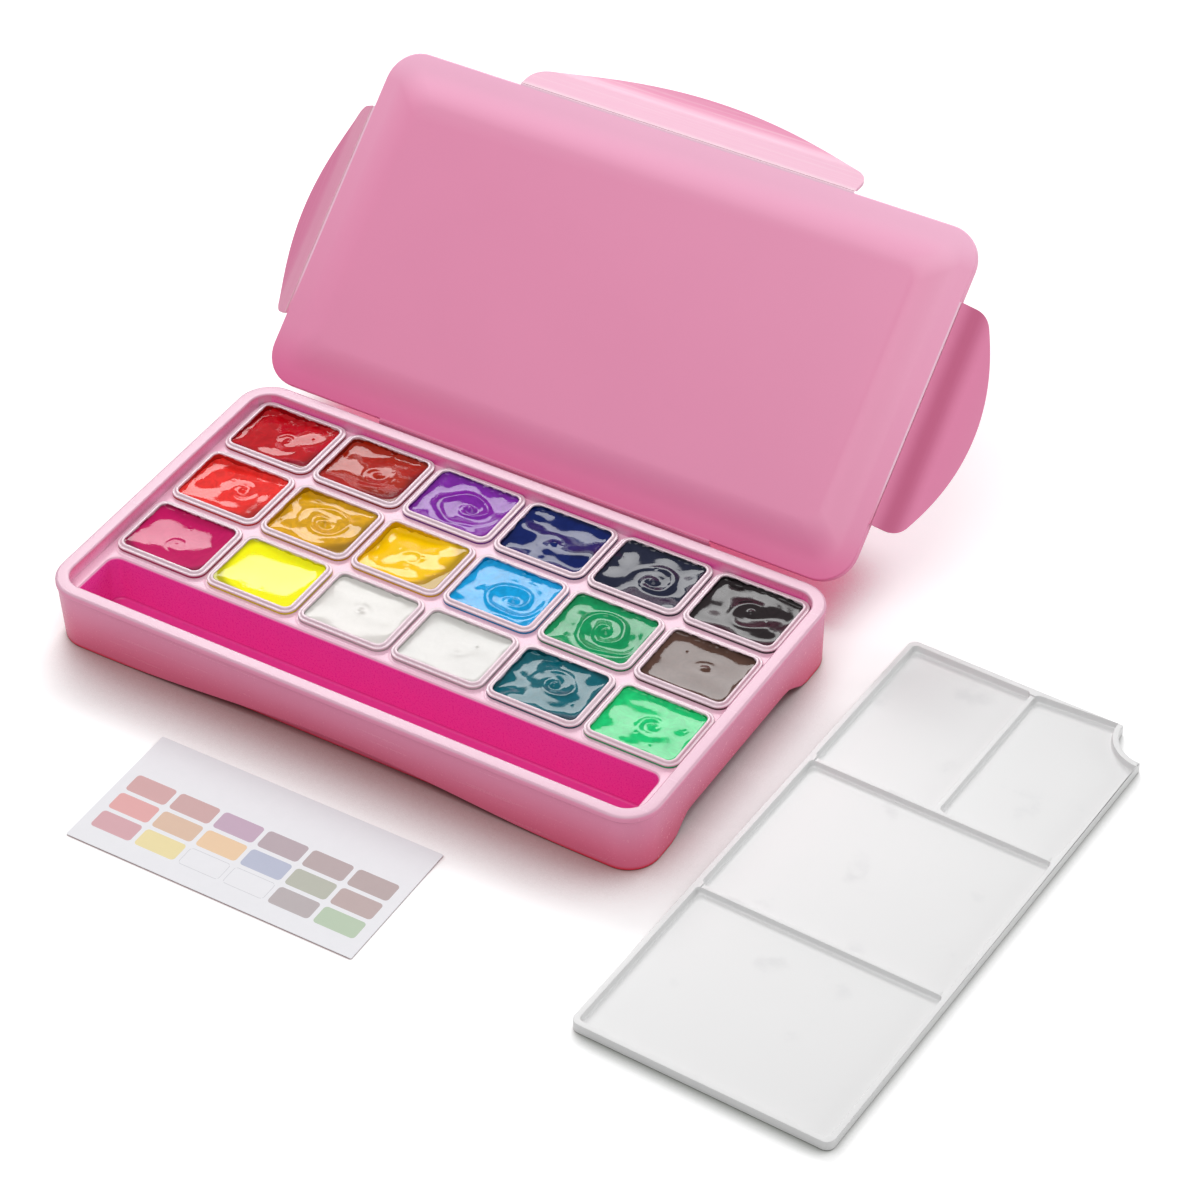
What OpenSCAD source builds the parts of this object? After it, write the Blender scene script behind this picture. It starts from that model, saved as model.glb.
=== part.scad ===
// Gouache paint set box: a shallow moulded case with a brush trough and eighteen
// lift-out paint cups, a lid on living hinges with four snap latches, a mixing
// palette and a paper colour card. Millimetres, +Z up. The origin is the middle of
// the case's footprint, on the surface that the box stands on. +Y is the lid's side.

/* [Cups] */
// Columns of cups, side by side
cup_cols = 6; // [6, 9]
// Width of a cup's flange
flange_w = 47.4; // [44:0.1:52]
// Depth of a cup's flange
flange_d = 38.0; // [35:0.1:42]
// Corner radius of a cup's flange
flange_r = 6; // [4.5:0.1:8]
// Gap between the flanges of neighbours in a row
col_gap = 1.6; // [0.8:0.1:5]
// Gap between the flanges of neighbouring rows
row_gap = 3.5; // [1:0.1:6]
// How far a flange reaches out past the cup's body, all round
flange_reach = 1.9; // [1.6:0.1:2.6]
// Wall thickness of a cup
cup_wall = 1.0; // [0.6:0.1:1.4]
// Height of a cup's body below its flange
cup_body_h = 24.0; // [18:0.1:30]
// Thickness of the flange
flange_t = 1.2; // [0.8:0.1:2]
// Height of the raised lip round a cup's mouth
lip_h = 0.8; // [0.4:0.1:1.4]
// Width of that lip
lip_w = 1.5; // [1.1:0.1:2.2]
// Depth of the paint's surface below the lip
paint_drop = 2.4; // [1:0.1:6]

/* [Case] */
// Width of the rim's flat top
rim_w = 6.5; // [5.5:0.1:9]
// Outer corner radius of the case
corner_r = 16.5; // [14:0.1:22]
// Thickness of the case's walls
wall_t = 1.8; // [1.2:0.1:2.2]
// Ledge between the rim and the end cups
end_ledge = 2.3; // [1:0.1:8]
// Gap between the rim and the back row's flanges
back_ledge = 0.4; // [0.3:0.1:5]
// Bridge between the front row's flanges and the brush trough
bridge_d = 3.9; // [2:0.1:10]
// Brush trough, front to back
trough_d = 30.7; // [18:0.1:45]
// Ledge between the rim and each end of the trough
trough_end = 5.5; // [4:0.1:14]
// Corner radius of the trough
trough_r = 5; // [2:0.1:8]
// Height of the rim above the cups' lips
recess_above = 3.7; // [3.2:0.1:8]
// Height of the collar that a flange sits on, above the deck
seat_h = 0.8; // [0.4:0.1:1.6]
// Width of that collar
seat_w = 1.0; // [0.6:0.1:1.1]
// Clearance between a cup's body and its well
well_clear = 0.4; // [0.3:0.05:0.8]
// Clearance below a cup's floor
cup_under = 0.7; // [0.2:0.1:2]
// Thickness of the case's floor
floor_t = 1.6; // [1:0.1:3]
// Wall thickness of the wells and of the trough, seen from below
well_wall = 1.2; // [0.8:0.1:1.5]
// Thickness of the deck between the wells
deck_t = 1.8; // [1.2:0.1:3]
// Thickness of the rib that ties the wells together, under the deck
rib_t = 1.6; // [1:0.1:2]
// How far the skirt draws in towards its foot
draft = 1.0; // [0:0.1:2]
// Height of the proud band round the rim
band_h = 3.0; // [2:0.1:5]
// How far the band stands out from the skirt
band_step = 0.6; // [0.5:0.05:0.8]
// Radius of the rim's edges
rim_edge_r = 1.2; // [0.5:0.1:1.8]
// Rise of the arch in the front and back of the skirt
front_arch_h = 6.5; // [2:0.1:10]
// Half the length of that arch
front_arch_half = 128; // [90:1:134]
// Rise of the arch in the ends of the skirt
end_arch_h = 6.5; // [2:0.1:10]
// Half the length of that arch
end_arch_half = 58; // [30:1:63]
// Length over which an end arch rises
end_arch_run = 17; // [8:1:24]

/* [Lid] */
// Angle through which the lid stands open
open_angle = 140; // [100:1:140]
// Thickness of the lid
lid_t = 1.8; // [1.2:0.1:2.6]
// Clearance between the closed lid and the rim
lid_gap = 0.3; // [0.1:0.05:0.6]
// Height of the lid's edge
lid_edge_h = 4.0; // [2.8:0.1:4.2]
// Clearance between the closed lid's raised panel and the cups' lips
panel_clear = 0.7; // [0.4:0.1:2]
// Clearance between the raised panel's foot and the rim's inner wall
panel_fit = 0.4; // [0.3:0.1:2]
// Width of the slope round the raised panel
slope_w = 17; // [8:0.5:24]
// Corner radius of the raised panel
panel_r = 8; // [4:0.5:14]

/* [Latches] */
// Height of a latch's tip above the table, when latched
latch_foot = 4; // [2:0.1:6]
// Reach of a latch at its ends
latch_end = 13.6; // [10:0.2:18]
// Corner radius of a latch's ends
latch_r = 8; // [3:0.5:9]
// Half the length of the front and back latches
long_half = 88; // [60:1:120]
// Half the length of the side latches
short_half = 53; // [34:1:58]
// Thickness of a latch
latch_t = 1.6; // [1:0.1:2]
// Thickness of a living hinge
web_t = 0.5; // [0.3:0.05:0.8]
// Distance of a living hinge's line from the lid's edge
web_out = 0.8; // [0.7:0.05:1.6]
// Distance from the hinge line to where a latch starts
latch_root = 1.0; // [0.8:0.1:2]
// Length of a latch's finger lip
lip_len = 12; // [6:0.5:16]
// How far the finger lip flares
lip_flare = 3.2; // [1:0.1:3.6]
// Angle of a closed latch from the lid's plane, which hooks its lip under the skirt's arch
latched_angle = 88.6; // [88:0.1:88.8]
// Angle by which a free latch is folded back past the lid's plane
fold_back = 44; // [0:1:48]

/* [Palette] */
// Width of the palette
palette_w = 122; // [90:1:140]
// Length of the palette
palette_l = 271; // [200:1:285]
// Height of the palette
palette_h = 5; // [3.5:0.1:8]
// Thickness of the palette's floor
palette_floor = 1.6; // [1:0.1:2.5]
// Width of the palette's rim
palette_rim = 2.6; // [1.6:0.1:5]
// Width of the palette's ribs
rib_w = 2.2; // [1.2:0.1:4]
// How far the ribs stay below the rim
rib_drop = 0.5; // [0:0.1:1.5]
// Corner radius of the palette
palette_r = 4; // [2:0.5:8]
// Radius of the finger notch in the palette's corner
notch_r = 17; // [10:0.5:24]
// Place of the rib that closes the back pans
back_rib = 47.5; // [30:0.5:60]
// Place of the rib that closes the front pan
front_rib = -42.6; // [-60:0.5:-30]
// Place of the rib between the two back pans
pan_rib = 1.7; // [-20:0.1:20]
// Gap between the case and the palette
palette_gap = 22; // [12:0.5:80]
// The palette's place, front to back
palette_y = -36.7; // [-80:0.1:20]
// The palette's turn on the table
palette_turn = -2.3; // [-5:0.1:5]

/* [Card] */
// Width of the colour card
card_w = 145.6; // [100:0.1:200]
// Depth of the colour card
card_d = 69.4; // [50:0.1:110]
// Thickness of the colour card
card_t = 0.4; // [0.2:0.05:1]
// Gap between the case and the card
card_gap = 27.6; // [10:0.1:80]
// The card's place, left to right
card_x = 1.3; // [-60:0.1:60]

/* [Hidden] */
$fn = 64;
overlap = 0.5;        // how far joined shapes reach into each other
reach = 20;           // spare length of a cutting shape
web_slit = 0.05;      // slit between a living hinge's two halves
arch_steps = 12;      // points along each rise of an arch
arc_steps = 20;       // points along a latch's outer edge
round_steps = 6;      // points along a small rounding
slope_steps = 3;      // steps in the slope of the lid's panel

// Every cup's name and colour: back row, middle row, front row, left to right
PAINTS = [
    ["deep_red", [0.66, 0.02, 0.10]],
    ["burnt_sienna", [0.50, 0.13, 0.06]],
    ["violet", [0.36, 0.14, 0.62]],
    ["ultramarine", [0.05, 0.10, 0.42]],
    ["indigo", [0.10, 0.10, 0.20]],
    ["black", [0.05, 0.05, 0.06]],
    ["vermilion", [0.90, 0.16, 0.14]],
    ["ochre", [0.82, 0.58, 0.10]],
    ["orange_yellow", [0.98, 0.64, 0.06]],
    ["sky_blue", [0.05, 0.58, 0.88]],
    ["green", [0.02, 0.58, 0.32]],
    ["umber", [0.24, 0.14, 0.10]],
    ["rose", [0.74, 0.02, 0.36]],
    ["lemon_yellow", [0.96, 0.90, 0.03]],
    ["white", [0.95, 0.95, 0.93]],
    ["zinc_white", [0.93, 0.93, 0.92]],
    ["teal", [0.02, 0.36, 0.42]],
    ["bright_green", [0.05, 0.76, 0.36]],
];

pink = [0.93, 0.62, 0.76];
lid_pink = [0.90, 0.56, 0.72];
clear_white = [0.93, 0.90, 0.92];

// Heights of the case, from the table up
well_floor = floor_t;
flange_z = well_floor + cup_under + cup_body_h;
lip_z = flange_z + flange_t + lip_h;
case_h = lip_z + recess_above;
deck_z = flange_z - seat_h;

// Plan of the case
cup_count = len(PAINTS);
cup_rows = cup_count / cup_cols;
col_pitch = flange_w + col_gap;
row_pitch = flange_d + row_gap;
cups_w = cup_cols * col_pitch - col_gap;
cups_d = cup_rows * row_pitch - row_gap;
recess_w = cups_w + 2 * end_ledge;
recess_d = back_ledge + cups_d + bridge_d + trough_d;
recess_r = corner_r - rim_w;
case_w = recess_w + 2 * rim_w;
case_d = recess_d + 2 * rim_w;
first_x = -(cups_w - flange_w) / 2;
back_y = recess_d / 2 - back_ledge - flange_d / 2;
trough_w = recess_w - 2 * trough_end;
trough_y = -recess_d / 2 + trough_d / 2;

// Sizes of a cup
body_w = flange_w - 2 * flange_reach;
body_d = flange_d - 2 * flange_reach;
body_r = flange_r - flange_reach;
mouth_w = body_w - 2 * cup_wall;
mouth_d = body_d - 2 * cup_wall;
mouth_r = max(body_r - cup_wall, 1);
paint_side = 0.1;     // clearance between the paint's solid and the cup's wall

// Sizes of the lid, in its closed place
lid_z = case_h + lid_gap;
axis_z = lid_z + web_t / 2;
axis_y = case_d / 2 + web_out;
axis_x = case_w / 2 + web_out;
panel_in = rim_w + panel_fit;
panel_h = recess_above - panel_clear;

skin = web_t / 2;     // distance of a latch's inner face from its hinge line

// Reach of a latch at its middle
latch_len = (axis_z - latch_foot - (skin + lip_flare) * cos(latched_angle)) / sin(latched_angle);

// A block with rounded upright edges, standing on z = 0
module rounded_block(w, d, h, r) {
    translate([-w / 2 + r, -d / 2, 0]) cube([w - 2 * r, d, h]);
    translate([-w / 2, -d / 2 + r, 0]) cube([w, d - 2 * r, h]);
    for (x = [-1, 1])
        for (y = [-1, 1])
            translate([x * (w / 2 - r), y * (d / 2 - r), 0]) cylinder(r = r, h = h);
}

// A profile carried round a rounded rectangle. Its x is the distance from the
// corner's axis, so that x = r is the rectangle's edge, and its y is the height.
module around(w, d, r) {
    for (c = [[1, 1, 0], [-1, 1, 90], [-1, -1, 180], [1, -1, 270]])
        translate([c[0] * (w / 2 - r), c[1] * (d / 2 - r), 0])
            rotate([0, 0, c[2]]) rotate_extrude(angle = 90) children();
    for (turn = [0, 180])
        rotate([0, 0, turn]) {
            translate([0, d / 2 - r, 0]) rotate([90, 0, 90])
                linear_extrude(height = w - 2 * r, center = true) children();
            translate([w / 2 - r, 0, 0]) rotate([90, 0, 0])
                linear_extrude(height = d - 2 * r, center = true) children();
        }
}

// Points on a quarter circle about c, from angle a0 on by 90 degrees
function quarter(c, r, a0) =
    [for (i = [0 : round_steps]) c + r * [cos(a0 + i * 90 / round_steps), sin(a0 + i * 90 / round_steps)]];

// Height of a smooth rise from 0 to 1, at t from 0 to 1
function rise(t) = (1 - cos(180 * t)) / 2;

module at_cup(i) {
    translate([first_x + (i % cup_cols) * col_pitch, back_y - floor(i / cup_cols) * row_pitch, 0])
        children();
}

// ---- the case ----

// Section of the rim, its skirt and its inner wall
module rim_section() {
    edge = corner_r;
    inner = corner_r - rim_w;
    polygon(concat(
        [[edge - band_step - draft, 0], [edge - band_step, case_h - band_h - band_step], [edge, case_h - band_h]],
        quarter([edge - rim_edge_r, case_h - rim_edge_r], rim_edge_r, 0),
        quarter([inner + rim_edge_r, case_h - rim_edge_r], rim_edge_r, 90),
        [[inner, 0], [inner + wall_t, 0], [inner + wall_t, case_h - wall_t - rim_edge_r / 2],
         [edge - band_step - wall_t, case_h - wall_t - rim_edge_r / 2], [edge - band_step - draft - wall_t, 0]]
    ));
}

// One arch's outline, upright in x and y
module arch_outline(half, run, height) {
    up = [for (i = [0 : arch_steps]) [-half + run * i / arch_steps, height * rise(i / arch_steps)]];
    down = [for (i = [0 : arch_steps]) [half - run + run * i / arch_steps, height * rise(1 - i / arch_steps)]];
    polygon(concat([[-half, -1]], up, down, [[half, -1]]));
}

module skirt_arches() {
    depth = band_step + draft + wall_t + overlap;
    for (turn = [0, 180])
        rotate([0, 0, turn]) {
            translate([0, -case_d / 2 + depth, 0]) rotate([90, 0, 0])
                linear_extrude(height = depth + 1) arch_outline(front_arch_half, front_arch_half - 1, front_arch_h);
            translate([case_w / 2 - depth, 0, 0]) rotate([90, 0, 90])
                linear_extrude(height = depth + 1) arch_outline(end_arch_half, end_arch_run, end_arch_h);
        }
}

module brush_trough() {
    intersection() {
        translate([0, trough_y, well_floor]) rounded_block(trough_w, trough_d, case_h, trough_r);
        translate([0, 0, well_floor]) rounded_block(recess_w, recess_d, case_h, recess_r);
    }
}

// The trough's own walls and floor, below the deck
module trough_box() {
    intersection() {
        translate([0, trough_y, 0])
            rounded_block(trough_w + 2 * well_wall, trough_d + 2 * well_wall, deck_z - overlap,
                trough_r + well_wall);
        rounded_block(recess_w + overlap, recess_d + overlap, deck_z, recess_r + overlap / 2);
    }
}

module tray_shell() {
    color(pink) difference() {
        union() {
            around(case_w, case_d, corner_r) rim_section();
            translate([0, 0, deck_z - deck_t])
                rounded_block(recess_w + overlap, recess_d + overlap, deck_t, recess_r + overlap / 2);
            for (i = [0 : cup_count - 1])
                at_cup(i) {
                    rounded_block(body_w + 2 * (well_clear + well_wall), body_d + 2 * (well_clear + well_wall),
                        deck_z - overlap, body_r + well_clear + well_wall);
                    translate([0, 0, deck_z - overlap])
                        rounded_block(body_w + 2 * (well_clear + seat_w), body_d + 2 * (well_clear + seat_w),
                            seat_h + overlap, body_r + well_clear + seat_w);
                }
            translate([-recess_w / 2, -rib_t / 2, 0]) cube([recess_w, rib_t, deck_z - overlap]);
            trough_box();
        }
        for (i = [0 : cup_count - 1])
            at_cup(i) translate([0, 0, well_floor])
                rounded_block(body_w + 2 * well_clear, body_d + 2 * well_clear, case_h, body_r + well_clear);
        brush_trough();
        skirt_arches();
    }
}

// ---- cups and paints ----

// Section of a cup's wall with its flange and lip
module cup_section() {
    wall = flange_r - flange_reach;
    polygon([
        [wall - cup_wall, flange_z - cup_body_h],
        [wall, flange_z - cup_body_h],
        [wall, flange_z],
        [flange_r, flange_z],
        [flange_r, flange_z + flange_t],
        [wall - cup_wall + lip_w, flange_z + flange_t],
        [wall - cup_wall + lip_w, lip_z],
        [wall - cup_wall, lip_z],
    ]);
}

module cup(i) {
    color(clear_white, 0.6) at_cup(i) {
        around(flange_w, flange_d, flange_r) cup_section();
        translate([0, 0, flange_z - cup_body_h]) rounded_block(body_w, body_d, cup_wall, body_r);
    }
}

module paint(i) {
    bottom = flange_z - cup_body_h + cup_wall;
    color(PAINTS[i][1]) at_cup(i) translate([0, 0, bottom])
        rounded_block(mouth_w - 2 * paint_side, mouth_d - 2 * paint_side, lip_z - paint_drop - bottom, mouth_r);
}

// ---- the lid, drawn closed ----

// Places what follows, drawn with the lid closed, where the lid stands open
module opened() {
    translate([0, axis_y, axis_z]) rotate([-open_angle, 0, 0]) translate([0, -axis_y, -axis_z]) children();
}

// One step of the raised panel, between shares a and b of the slope
module panel_step(a, b) {
    hull()
        for (t = [a, b]) {
            inset = panel_in + slope_w * t;
            translate([0, 0, lid_z - panel_h * rise(t)])
                rounded_block(case_w - 2 * inset, case_d - 2 * inset, lid_t,
                    max(corner_r - panel_in, panel_r) * (1 - t) + panel_r * t, $fn = 32);
        }
}

module raised_panel() {
    for (k = [0 : slope_steps - 1]) panel_step(k / slope_steps, (k + 1) / slope_steps);
}

// Half of a living hinge, that stays with the lid, for a latch whose half length is given
module hinge_lip(half, out) {
    length = web_out - web_t / 2 - web_slit;
    translate([-half, out - web_out - overlap, lid_z]) cube([2 * half, length + overlap, web_t]);
}

module lid_closed() {
    difference() {
        union() {
            translate([0, 0, lid_z]) rounded_block(case_w, case_d, lid_edge_h, corner_r);
            raised_panel();
            for (turn = [0, 180]) rotate([0, 0, turn]) hinge_lip(long_half, axis_y);
            for (turn = [90, 270]) rotate([0, 0, turn]) hinge_lip(short_half, axis_x);
        }
        translate([0, 0, lid_z + lid_t])
            rounded_block(case_w - 2 * lid_t, case_d - 2 * lid_t, reach, corner_r - lid_t);
        translate([0, 0, lid_t]) raised_panel();
    }
}

module lid_panel() {
    color(lid_pink) opened() lid_closed();
}

// ---- latches: drawn flat, x along the hinge line, +y outwards, +z the box's outside ----

// Height of a latch's inner face at a distance u from the hinge line
function inner_face(u) =
    -skin - lip_flare * pow(max(0, u - latch_len + lip_len) / lip_len, 1.5);

module latch_section() {
    start = latch_len - lip_len;
    lip_points = [for (k = [0 : round_steps]) start + lip_len * k / round_steps];
    root_run = latch_t - web_t + latch_root;
    polygon(concat(
        [[latch_root, -skin]],
        [for (u = lip_points) [u, inner_face(u)]],
        [for (k = [0 : round_steps]) [lip_points[round_steps - k], inner_face(lip_points[round_steps - k]) + latch_t]],
        [[root_run, latch_t - skin], [latch_root, skin]]
    ));
}

// Outline of a latch: straight ends with round corners, and one arc between them
module latch_outline(half) {
    drop = latch_len - latch_end;
    arc_r = (half * half + drop * drop) / (2 * drop);
    arc_half = half - latch_r / 2;
    ends = quarter([half - latch_r, latch_end - latch_r], latch_r, 0);
    side = [for (k = [0 : arc_steps]) arc_half - 2 * arc_half * k / arc_steps];
    polygon(concat(
        [[half, 0], ends[0], ends[1], ends[2], ends[3]],
        [for (x = side) [x, latch_len - arc_r + sqrt(arc_r * arc_r - x * x)]],
        [[-ends[3][0], ends[3][1]], [-ends[2][0], ends[2][1]], [-ends[1][0], ends[1][1]],
         [-ends[0][0], ends[0][1]], [-half, 0]]
    ));
}

module latch(half) {
    intersection() {
        union() {
            rotate([90, 0, 90]) linear_extrude(height = 2 * half, center = true) latch_section();
            translate([-half, 0, -skin]) cube([2 * half, latch_root + overlap, web_t]);
        }
        translate([0, 0, -reach / 2]) linear_extrude(height = reach) latch_outline(half);
    }
    rotate([0, 90, 0]) cylinder(r = skin, h = 2 * half, center = true);
}

// A latch on its side of the closed lid, turned up from the lid's plane by angle
module latch_at(turn, out, half, angle) {
    rotate([0, 0, turn]) translate([0, out, axis_z]) rotate([angle, 0, 0]) latch(half);
}

module back_latch() {
    color(lid_pink) latch_at(0, axis_y, long_half, -latched_angle);
}

module front_latch() {
    color(lid_pink) opened() latch_at(180, axis_y, long_half, fold_back);
}

module left_latch() {
    color(lid_pink) opened() latch_at(90, axis_x, short_half, fold_back);
}

module right_latch() {
    color(lid_pink) opened() latch_at(270, axis_x, short_half, fold_back);
}

// ---- palette and card ----

module palette() {
    inner_w = palette_w - 2 * palette_rim;
    inner_l = palette_l - 2 * palette_rim;
    inner_r = max(palette_r - palette_rim, 0.8);
    rib_h = palette_h - rib_drop;
    color("white")
        translate([case_w / 2 + palette_gap + palette_w / 2, palette_y, 0]) rotate([0, 0, palette_turn])
            difference() {
                union() {
                    difference() {
                        rounded_block(palette_w, palette_l, palette_h, palette_r);
                        translate([0, 0, palette_floor]) rounded_block(inner_w, inner_l, palette_h, inner_r);
                    }
                    for (y = [back_rib, front_rib])
                        translate([-palette_w / 2 + overlap, y - rib_w / 2, 0])
                            cube([palette_w - 2 * overlap, rib_w, rib_h]);
                    translate([pan_rib - rib_w / 2, back_rib, 0])
                        cube([rib_w, palette_l / 2 - back_rib - overlap, rib_h]);
                    intersection() {
                        rounded_block(palette_w, palette_l, palette_h, palette_r);
                        translate([palette_w / 2, palette_l / 2, 0])
                            cylinder(r = notch_r + palette_rim, h = palette_h);
                    }
                }
                translate([palette_w / 2, palette_l / 2, -1]) cylinder(r = notch_r, h = palette_h + 2);
            }
}

module colour_card() {
    color([0.93, 0.93, 0.94])
        translate([card_x, -case_d / 2 - card_gap - card_d / 2, 0]) rounded_block(card_w, card_d, card_t, 0.6);
}

tray_shell();
back_latch();
lid_panel();
front_latch();
left_latch();
right_latch();
for (i = [0 : cup_count - 1])
    cup(i);
for (i = [0 : cup_count - 1])
    paint(i);
palette();
colour_card();
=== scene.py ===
"""Looks of a gouache paint set box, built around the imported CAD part.

Every shape is worked out in millimetres, in the CAD part's own frame, and scaled to metres
when its mesh is finished. The lid and its latches are drawn closed and then turned open.
"""

import logging
import math
from dataclasses import dataclass, field, replace
from enum import Enum
from functools import cache
from typing import Callable, Iterable, Sequence

import bmesh
import bpy
from bmesh.types import BMEdge, BMesh, BMVert
from bpy.types import ID, Material, Mesh, MeshVertex, Node, NodeSocket, NodeTree, Object
from mathutils import Matrix, Vector, noise


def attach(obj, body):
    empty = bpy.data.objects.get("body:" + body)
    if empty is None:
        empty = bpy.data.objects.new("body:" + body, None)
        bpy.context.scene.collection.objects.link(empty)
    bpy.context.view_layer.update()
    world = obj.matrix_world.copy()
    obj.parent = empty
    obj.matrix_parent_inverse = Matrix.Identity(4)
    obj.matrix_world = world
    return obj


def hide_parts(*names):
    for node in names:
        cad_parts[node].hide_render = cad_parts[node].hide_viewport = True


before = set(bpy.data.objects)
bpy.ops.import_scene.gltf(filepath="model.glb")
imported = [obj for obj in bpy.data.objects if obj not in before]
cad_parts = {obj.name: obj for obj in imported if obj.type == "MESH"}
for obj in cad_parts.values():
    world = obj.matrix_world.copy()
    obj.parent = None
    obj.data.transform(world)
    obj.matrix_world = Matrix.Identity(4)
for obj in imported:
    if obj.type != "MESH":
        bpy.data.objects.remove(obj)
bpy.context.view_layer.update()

log = logging.getLogger("paint_box")

MM = 0.001  # a millimetre, in metres
EPS = 1e-4  # how near two places are that count as one, in millimetres
Colour = tuple[float, float, float]
Place = tuple[float, float, float]
BLACK: Colour = (0.0, 0.0, 0.0)
WHITE: Colour = (1.0, 1.0, 1.0)
MOULDED_IOR = 1.47


# ---- shapes ----


def rise(share: float) -> float:
    """Returns a smooth rise from 0 to 1, for a share from 0 to 1."""
    return (1 - math.cos(math.pi * min(max(share, 0.0), 1.0))) / 2


def spread(low: float, high: float, count: int) -> list[float]:
    """Returns count even values from low to high, both included."""
    return [low + (high - low) * k / (count - 1) for k in range(count)]


def rotation(degrees: float, axis: str) -> Matrix:
    """Returns a turn about one of the three axes."""
    return Matrix.Rotation(math.radians(degrees), 4, axis)


def new_verts(result: dict[str, list]) -> list[BMVert]:
    """Returns the points among what an extrusion made."""
    return [item for item in result["geom"] if isinstance(item, BMVert)]


def add_object(name: str, data: ID) -> Object:
    """Adds an object to the scene."""
    added = bpy.data.objects.new(name, data)
    bpy.context.scene.collection.objects.link(added)
    return added


def settle(piece: Object, body: str, slot: str, *nodes: str) -> None:
    """Hangs a piece on the empty of the CAD body that it rides on, and hides the nodes that it replaces."""
    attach(piece, body)
    if nodes:
        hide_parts(*nodes)


def paint_top_highlight(mesh: Mesh, share: Callable[[MeshVertex], float]) -> None:
    """Marks, point by point, how much of the painted highlight, the paler colour of level tops, a mesh shows."""
    marks = mesh.attributes.new("tops", "FLOAT", "POINT")
    for vert, mark in zip(mesh.vertices, marks.data):
        mark.value = share(vert)


@dataclass(frozen=True)
class Plan:
    """A rounded rectangle seen from above. One corner can be a finger notch."""

    width: float
    depth: float
    corner: float
    x: float = 0.0
    y: float = 0.0
    steps: int = 6
    notch: float = 0.0

    def inset(self, by: float, corner: float | None = None) -> "Plan":
        """Returns the outline drawn in by a distance, parallel where no corner radius is given."""
        return replace(self, width=self.width - 2 * by, depth=self.depth - 2 * by,
                       corner=max(self.corner - by, 0.05) if corner is None else corner,
                       notch=self.notch + by if self.notch else 0.0)

    def holds(self, verts: Iterable[BMVert]) -> bool:
        """Returns whether points all lie within the outline's box."""
        return all(abs(v.co.x - self.x) <= self.width / 2 + EPS and abs(v.co.y - self.y) <= self.depth / 2 + EPS
                   for v in verts)

    def place(self, index: int) -> tuple[float, float]:
        """Returns the x and y of one of the outline's points, counted against the clock."""
        quarter, step = divmod(index, self.steps + 1)
        side_x = 1 if quarter in (0, 3) else -1
        side_y = 1 if quarter < 2 else -1
        turn = step / self.steps
        if self.notch and quarter == 0:
            angle = math.radians(-90 - 90 * turn)
            shift = self.notch_shift()
            return (self.x + self.width / 2 + shift + self.notch * math.cos(angle),
                    self.y + self.depth / 2 + shift + self.notch * math.sin(angle))
        angle = math.radians(90 * (quarter + turn))
        return (self.x + side_x * (self.width / 2 - self.corner) + self.corner * math.cos(angle),
                self.y + side_y * (self.depth / 2 - self.corner) + self.corner * math.sin(angle))

    def notch_shift(self) -> float:
        """Returns how far the notch's centre lies outside the outline's own corner."""
        return max(0.0, self.notch - Palette.notch_radius) if self.notch else 0.0

    def hold(self, x: float, y: float) -> tuple[float, float]:
        """Returns the point of the outline's inside that is nearest to a point of its box."""
        half_x, half_y = self.width / 2 - self.corner, self.depth / 2 - self.corner
        over_x, over_y = abs(x) - half_x, abs(y) - half_y
        reach = math.hypot(over_x, over_y)
        if over_x <= 0 or over_y <= 0 or reach <= self.corner:
            return x, y
        share = self.corner / reach
        return (math.copysign(half_x + over_x * share, x), math.copysign(half_y + over_y * share, y))


@dataclass(frozen=True)
class Station:
    """One ring of a loft: how far in from the plan's outline, how high, and how rounded."""

    inset: float
    height: float
    soft: float = 0.0
    corner: float | None = None
    segments: int = 3


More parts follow.
